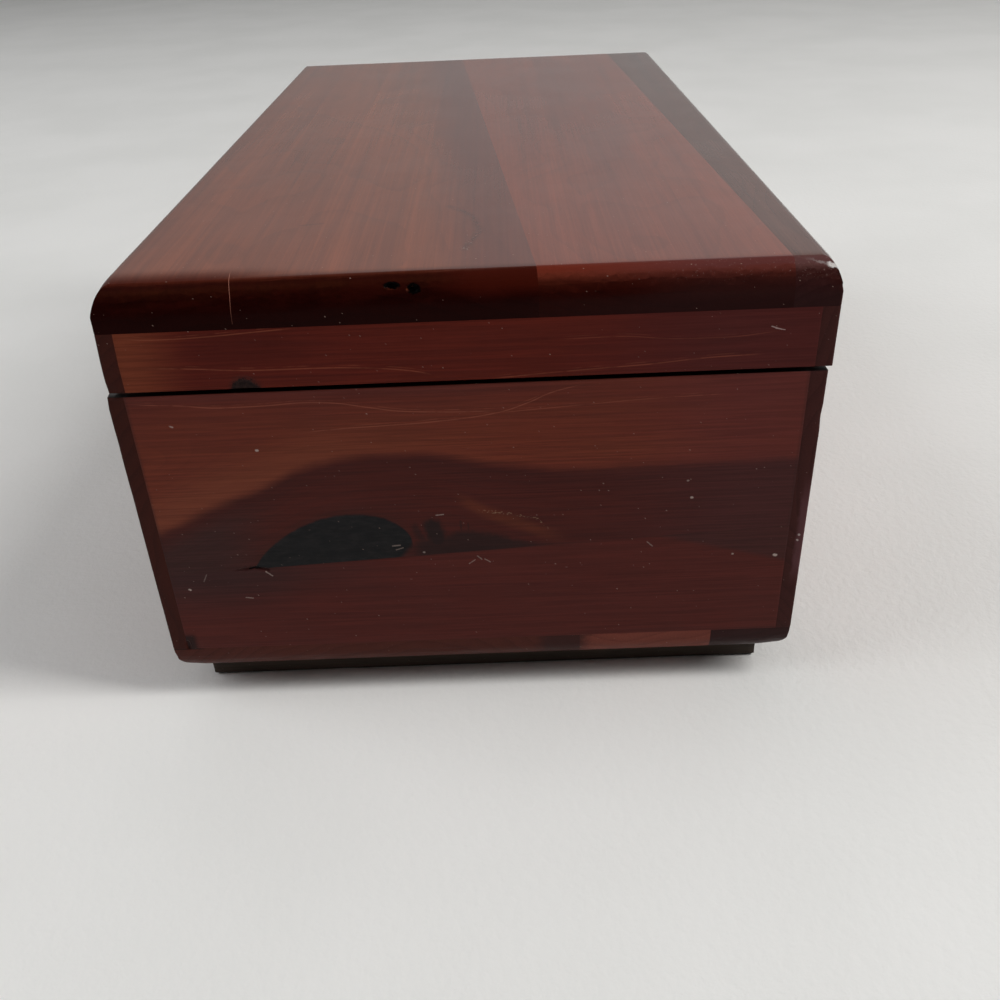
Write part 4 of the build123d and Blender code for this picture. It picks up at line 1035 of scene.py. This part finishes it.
def worn(node, form, steps=(4.0, 4.0, 4.0), planes=(), zones=()):
    """A new mesh for one board. planes are extra cuts (point, normal); zones are (low corner,
    high corner, steps) with a finer grid."""
    src = NODES[node]
    lo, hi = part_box(node)
    lo, hi = [c * 1000.0 for c in lo], [c * 1000.0 for c in hi]
    bm = bmesh.new()
    bm.from_mesh(src.data)
    bm.transform(src.matrix_world)
    bmesh.ops.scale(bm, vec=(1000.0, 1000.0, 1000.0), verts=bm.verts)
    bmesh.ops.remove_doubles(bm, verts=bm.verts, dist=0.002)
    bmesh.ops.dissolve_limit(bm, angle_limit=math.radians(0.4), verts=bm.verts, edges=bm.edges)

    def cut(co, no, geom=None):
        whole = geom is None
        if whole:
            geom = bm.faces[:] + bm.edges[:] + bm.verts[:]
        out = bmesh.ops.bisect_plane(bm, geom=geom, dist=0.004, plane_co=co, plane_no=no)
        return None if whole else out["geom"]

    axes = (Vector((1, 0, 0)), Vector((0, 1, 0)), Vector((0, 0, 1)))
    for i in range(3):
        at = set(round(v, 3) for v in span(lo[i], hi[i], steps[i])[1:-1])
        for d in (0.3, 0.75, 1.3, 2.2, 3.45, 4.2, 5.3, 6.4):
            at.update((round(form.lo[i] + d, 3), round(form.hi[i] - d, 3)))
        if i == 1:
            for mid in (YS, LID_MID):
                at.update(round(mid + s * LIP_AT + d, 3) for s in (-1, 1) for d in (-0.25, 0.25))
        if i == 2:
            at.update((12.45, 12.95, 80.75, 81.25, 10.95, 82.3))
        near = 0.06
        for v in sorted(at):
            if lo[i] + near < v < hi[i] - near:
                cut(axes[i] * v, axes[i])
    for co, no in planes:
        cut(Vector(co), Vector(no).normalized())
    for a, b, st in zones:
        faces = [f for f in bm.faces if all(a[i] <= c <= b[i] for i, c in enumerate(f.calc_center_median()))]
        geom = list(faces)
        geom += list({e for f in faces for e in f.edges})
        geom += list({v for f in faces for v in f.verts})
        for i in range(3):
            if st[i]:
                for v in span(a[i], b[i], st[i]):
                    geom = cut(axes[i] * (v + 0.0137), axes[i], geom)
    bmesh.ops.connect_verts_concave(bm, faces=bm.faces)
    for v in bm.verts:
        s = form.shift(v.co)
        if s is not None:
            v.co += s
    bm.normal_update()
    bm.verts.index_update()
    verts = [v.co / 1000.0 for v in bm.verts]
    faces = [[v.index for v in f.verts] for f in bm.faces]
    bm.free()
    me = bpy.data.meshes.new(node + "_wood")
    me.from_pydata(verts, [], faces)
    me.materials.append(src.material_slots[0].material)
    me.polygons.foreach_set("use_smooth", [True] * len(me.polygons))
    me.set_sharp_from_angle(angle=math.radians(32.0))
    me.validate()
    o = bpy.data.objects.new(node + "_wood", me)
    bpy.context.scene.collection.objects.link(o)
    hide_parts(node)
    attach(o, src.parent.name.split(":")[-1])
    return o


G_END = ((0.0, 0.0, GLUE_Z - 0.25), (0.0, -0.055, 1.0)), ((0.0, 0.0, GLUE_Z + 0.25), (0.0, -0.055, 1.0))
T1, T2 = 17.1 / 228.6, 8.3 / 228.6
G_TOP = [((-114.3, y0 + YS + s, 0.0), (-t, 1.0, 0.0)) for y0, t in ((-4.2, T1), (46.9, T2)) for s in (-0.25, 0.25)]
G_BOTTOM = [((0.0, y0 + s, 0.0), (0.0, 1.0, 0.0)) for y0 in (20.0 + YS, 46.5 + YS) for s in (-0.25, 0.25)]

PIT_ZONE = ((110.8, -15.2, 85.2), (114.31, -7.8, 88.4), (0.3, 0.22, 0.22))
CORNER_ZONE = ((110.8, 50.5, 84.5), (114.31, 61.5, 88.91), (0.4, 0.4, 0.4))
END_ZONES = [((114.0, -47.4, 29.6), (114.31, -11.8, 44.6), (0, 0.45, 0.45)),
             ((114.0, -47.0, 31.0), (114.31, -41.4, 33.0), (0, 0.16, 0.16))]

worn("right_end_upper_stave", BODY_FORM, (3, 2.5, 2.5), G_END, END_ZONES)
worn("right_end_lower_stave", BODY_FORM, (3, 2.5, 2.5), G_END, [((114.0, -47.0, 29.6), (114.31, -41.4, 33.0), (0, 0.16, 0.16)),
                                                              ((113.0, -61.5, 12.6), (114.31, -60.0, 16.0), (0, 0.2, 0.2))])
worn("left_end_upper_stave", BODY_FORM, (3, 4, 4), G_END)
worn("left_end_lower_stave", BODY_FORM, (3, 4, 4), G_END)
worn("front_board", BODY_FORM, (4, 3, 3), (), [((112.4, -64.4, 66.6), (114.31, -60.0, 69.31), (0.3, 0.3, 0.3)),
                                              ((113.0, -62.2, 12.6), (114.31, -61.0, 16.0), (0, 0.2, 0.2))])
worn("back_board", BODY_FORM, (4, 3, 3))
worn("bottom_front_stave", BODY_FORM, (4, 4, 2), G_BOTTOM)
worn("bottom_middle_stave", BODY_FORM, (4, 4, 2), G_BOTTOM)
worn("bottom_back_stave", BODY_FORM, (4, 4, 2), G_BOTTOM)
worn("lid_top_front_stave", LID_FORM, (4, 4, 2), G_TOP, [PIT_ZONE])
worn("lid_top_middle_stave", LID_FORM, (4, 4, 2), G_TOP)
worn("lid_top_back_stave", LID_FORM, (4, 4, 2), G_TOP, [CORNER_ZONE])
worn("lid_front_rail", LID_FORM, (4, 3, 2.5), (), [((112.4, -63.6, 70.0), (114.31, -60.0, 72.6), (0.35, 0.35, 0.35))])
worn("lid_back_rail", LID_FORM, (4, 3, 2.5))
worn("lid_right_rail", LID_FORM, (3, 2.5, 2.0), (), [((114.0, -43.6, 70.0), (114.31, -36.4, 73.6), (0, 0.28, 0.28))])
worn("lid_left_rail", LID_FORM, (3, 4, 2.5))
worn("right_runner", RUNNER_FORMS["right_runner"], (4, 4, 2))
worn("left_runner", RUNNER_FORMS["left_runner"], (4, 4, 2))


# ---------------------------------------------------------------- metal
def metal(name, base, dull, rough, seed, tarnish=0.5, streak=(0.5, 0.5, 6.0)):
    g = Graph(name)
    x, y, z = g.place()
    v = g.vec(g.add(x, seed), y, z)
    blot = g.noise(v, 0.35, 4.0, 0.6)
    fine = g.noise(g.vec(g.mul(x, streak[0]), g.mul(y, streak[1]), g.mul(z, streak[2])), 2.0, 3.0, 0.6)
    spot, col = g.cells(v, 0.8)
    spots = g.mul(g.step(spot, 0.22, 0.08), g.step(g.split(col)[0], 0.75, 0.8))
    t = g.m("MULTIPLY", g.step(blot, 0.40, 0.68), tarnish)
    c = g.mix(t, base, dull)
    c = g.tint(c, g.mad(g.sub(fine, 0.5), 0.30, 1.0))
    c = g.mix(g.mul(spots, 0.6), c, times(dull, 0.4))
    r = g.total(rough, g.mul(t, 0.22), g.mul(g.sub(fine, 0.5), 0.16), g.mul(spots, 0.2))
    return g.finish(c, r, g.total(g.mul(fine, 0.5), g.mul(blot, 0.4)), 0.03, Metallic=1.0)


BRASS = metal("brass_aged", (0.640, 0.430, 0.150), (0.250, 0.150, 0.060), 0.27, 3.0)
BRASS_BRIGHT = metal("brass_plug", (0.700, 0.490, 0.190), (0.330, 0.200, 0.080), 0.22, 8.0, 0.35)
STEEL = metal("steel_screws", (0.430, 0.420, 0.410), (0.150, 0.120, 0.100), 0.35, 5.0)
for nm in NODES:
    if nm.startswith("hinge_") or nm.startswith("lock_") or nm in ("escutcheon_pins", "link_plate_screws"):
        assign(nm, BRASS)
assign("lock_plug", BRASS_BRIGHT)
assign("lock_escutcheon", BRASS_BRIGHT)
assign("hinge_pins", STEEL)
assign("runner_screws", STEEL)


# ---------------------------------------------------------------- floor, light, camera
def make_floor():
    me = bpy.data.meshes.new("floor")
    s = 6.0
    me.from_pydata([(-s, -s, 0), (s, -s, 0), (s, s, 0), (-s, s, 0)], [], [(0, 1, 2, 3)])
    o = bpy.data.objects.new("floor", me)
    bpy.context.scene.collection.objects.link(o)
    g = Graph("pale_floor")
    x, y, z = g.place()
    v = g.vec(x, y, 0.0)
    a = g.noise(v, 0.5, 4.0, 0.6)
    b = g.noise(v, 0.012, 3.0, 0.5)
    c = g.mix(g.step(b, 0.3, 0.7), (0.83, 0.83, 0.815), (0.87, 0.868, 0.855))
    me.materials.append(g.finish(c, 0.6, a, 0.18, Specular_IOR_Level=0.2))
    return o


make_floor()

world = bpy.data.worlds.new("studio")
bpy.context.scene.world = world
world.use_nodes = True
nt = world.node_tree
nt.nodes.clear()
tc = nt.nodes.new("ShaderNodeTexCoord")
sep = nt.nodes.new("ShaderNodeSeparateXYZ")
nt.links.new(tc.outputs["Generated"], sep.inputs[0])
ramp = nt.nodes.new("ShaderNodeValToRGB")
nt.links.new(sep.outputs[2], ramp.inputs[0])
ramp.color_ramp.interpolation = "EASE"
# brightness by height: pale walls low down, a dark ceiling
stops = [(0.0, 0.30), (0.15, 0.33), (0.32, 0.43), (0.40, 0.38), (0.56, 0.08), (1.0, 0.04)]
els = ramp.color_ramp.elements
while len(els) < len(stops):
    els.new(0.5)
for e, (p, v) in zip(els, stops):
    e.position, e.color = p, (v, v * 0.995, v * 0.985, 1)
# and the room behind the camera is darker than the wall behind the chest
side_of = nt.nodes.new("ShaderNodeMapRange")
side_of.interpolation_type = "SMOOTHSTEP"
nt.links.new(sep.outputs[0], side_of.inputs["Value"])
for k, v in (("From Min", 0.0), ("From Max", 0.7), ("To Min", 1.0), ("To Max", 0.12)):
    side_of.inputs[k].default_value = v
# a little brighter to the right of the view, where the window is
right_of = nt.nodes.new("ShaderNodeMapRange")
nt.links.new(sep.outputs[1], right_of.inputs["Value"])
for k, v in (("From Min", -0.3), ("From Max", 0.4), ("To Min", 0.86), ("To Max", 1.38)):
    right_of.inputs[k].default_value = v
level = nt.nodes.new("ShaderNodeMath")
level.operation = "MULTIPLY"
nt.links.new(side_of.outputs[0], level.inputs[0])
nt.links.new(right_of.outputs[0], level.inputs[1])
bg = nt.nodes.new("ShaderNodeBackground")
nt.links.new(ramp.outputs[0], bg.inputs[0])
nt.links.new(level.outputs[0], bg.inputs[1])
out = nt.nodes.new("ShaderNodeOutputWorld")
nt.links.new(bg.outputs[0], out.inputs[0])


def area(name, at, to, size, watts, colour=(1, 1, 1)):
    d = bpy.data.lights.new(name, "AREA")
    d.shape, d.size, d.size_y, d.energy, d.color = "RECTANGLE", size[0], size[1], watts, colour
    o = bpy.data.objects.new(name, d)
    bpy.context.scene.collection.objects.link(o)
    at, to = Vector(at), Vector(to)
    o.matrix_world = Matrix.Translation(at) @ (to - at).to_track_quat("-Z", "Y").to_matrix().to_4x4()
    return o


def soft_top(watts):
    """Even light from straight above, too spread out to show in the lacquer."""
    o = area("overhead", (0.0, 0.0, 1.6), (0.0, 0.0, 0.0), (2.6, 2.6), watts)
    o.visible_glossy = False
    return o


soft_top(10.0)
area("key", (0.30, 1.25, 1.20), (0.05, 0.0, 0.0), (0.45, 1.1), 19.0, (1.0, 0.985, 0.96))
area("fill", (0.15, -1.35, 1.05), (0.05, 0.0, 0.0), (1.2, 1.2), 9.0, (0.97, 0.985, 1.0))


def camera():
    """The photograph's viewpoint: close in front of the right-hand end, looking down on it."""
    p, y, r = 0.5564, -0.0112, 0.0435
    f = Vector((math.cos(p) * math.cos(y), math.cos(p) * math.sin(y), -math.sin(p)))
    r0 = Vector((-math.sin(y), math.cos(y), 0.0))
    d0 = f.cross(r0)
    if d0.z > 0:
        d0.negate()
    right = r0 * math.cos(r) + d0 * math.sin(r)
    down = d0 * math.cos(r) - r0 * math.sin(r)
    for v in (f, right, down):
        v.x = -v.x
    cam = bpy.data.cameras.new("camera")
    cam.lens, cam.sensor_width, cam.sensor_fit = 36.19, 36.0, "HORIZONTAL"
    cam.clip_start = 0.01
    o = bpy.data.objects.new("camera", cam)
    bpy.context.scene.collection.objects.link(o)
    rot = Matrix((right, -down, -f)).transposed()
    o.matrix_world = Matrix.Translation((0.27254, 0.00506, 0.14396)) @ rot.to_4x4()
    bpy.context.scene.camera = o


camera()
bpy.context.scene.view_settings.view_transform = "Standard"

bpy.context.view_layer.update()
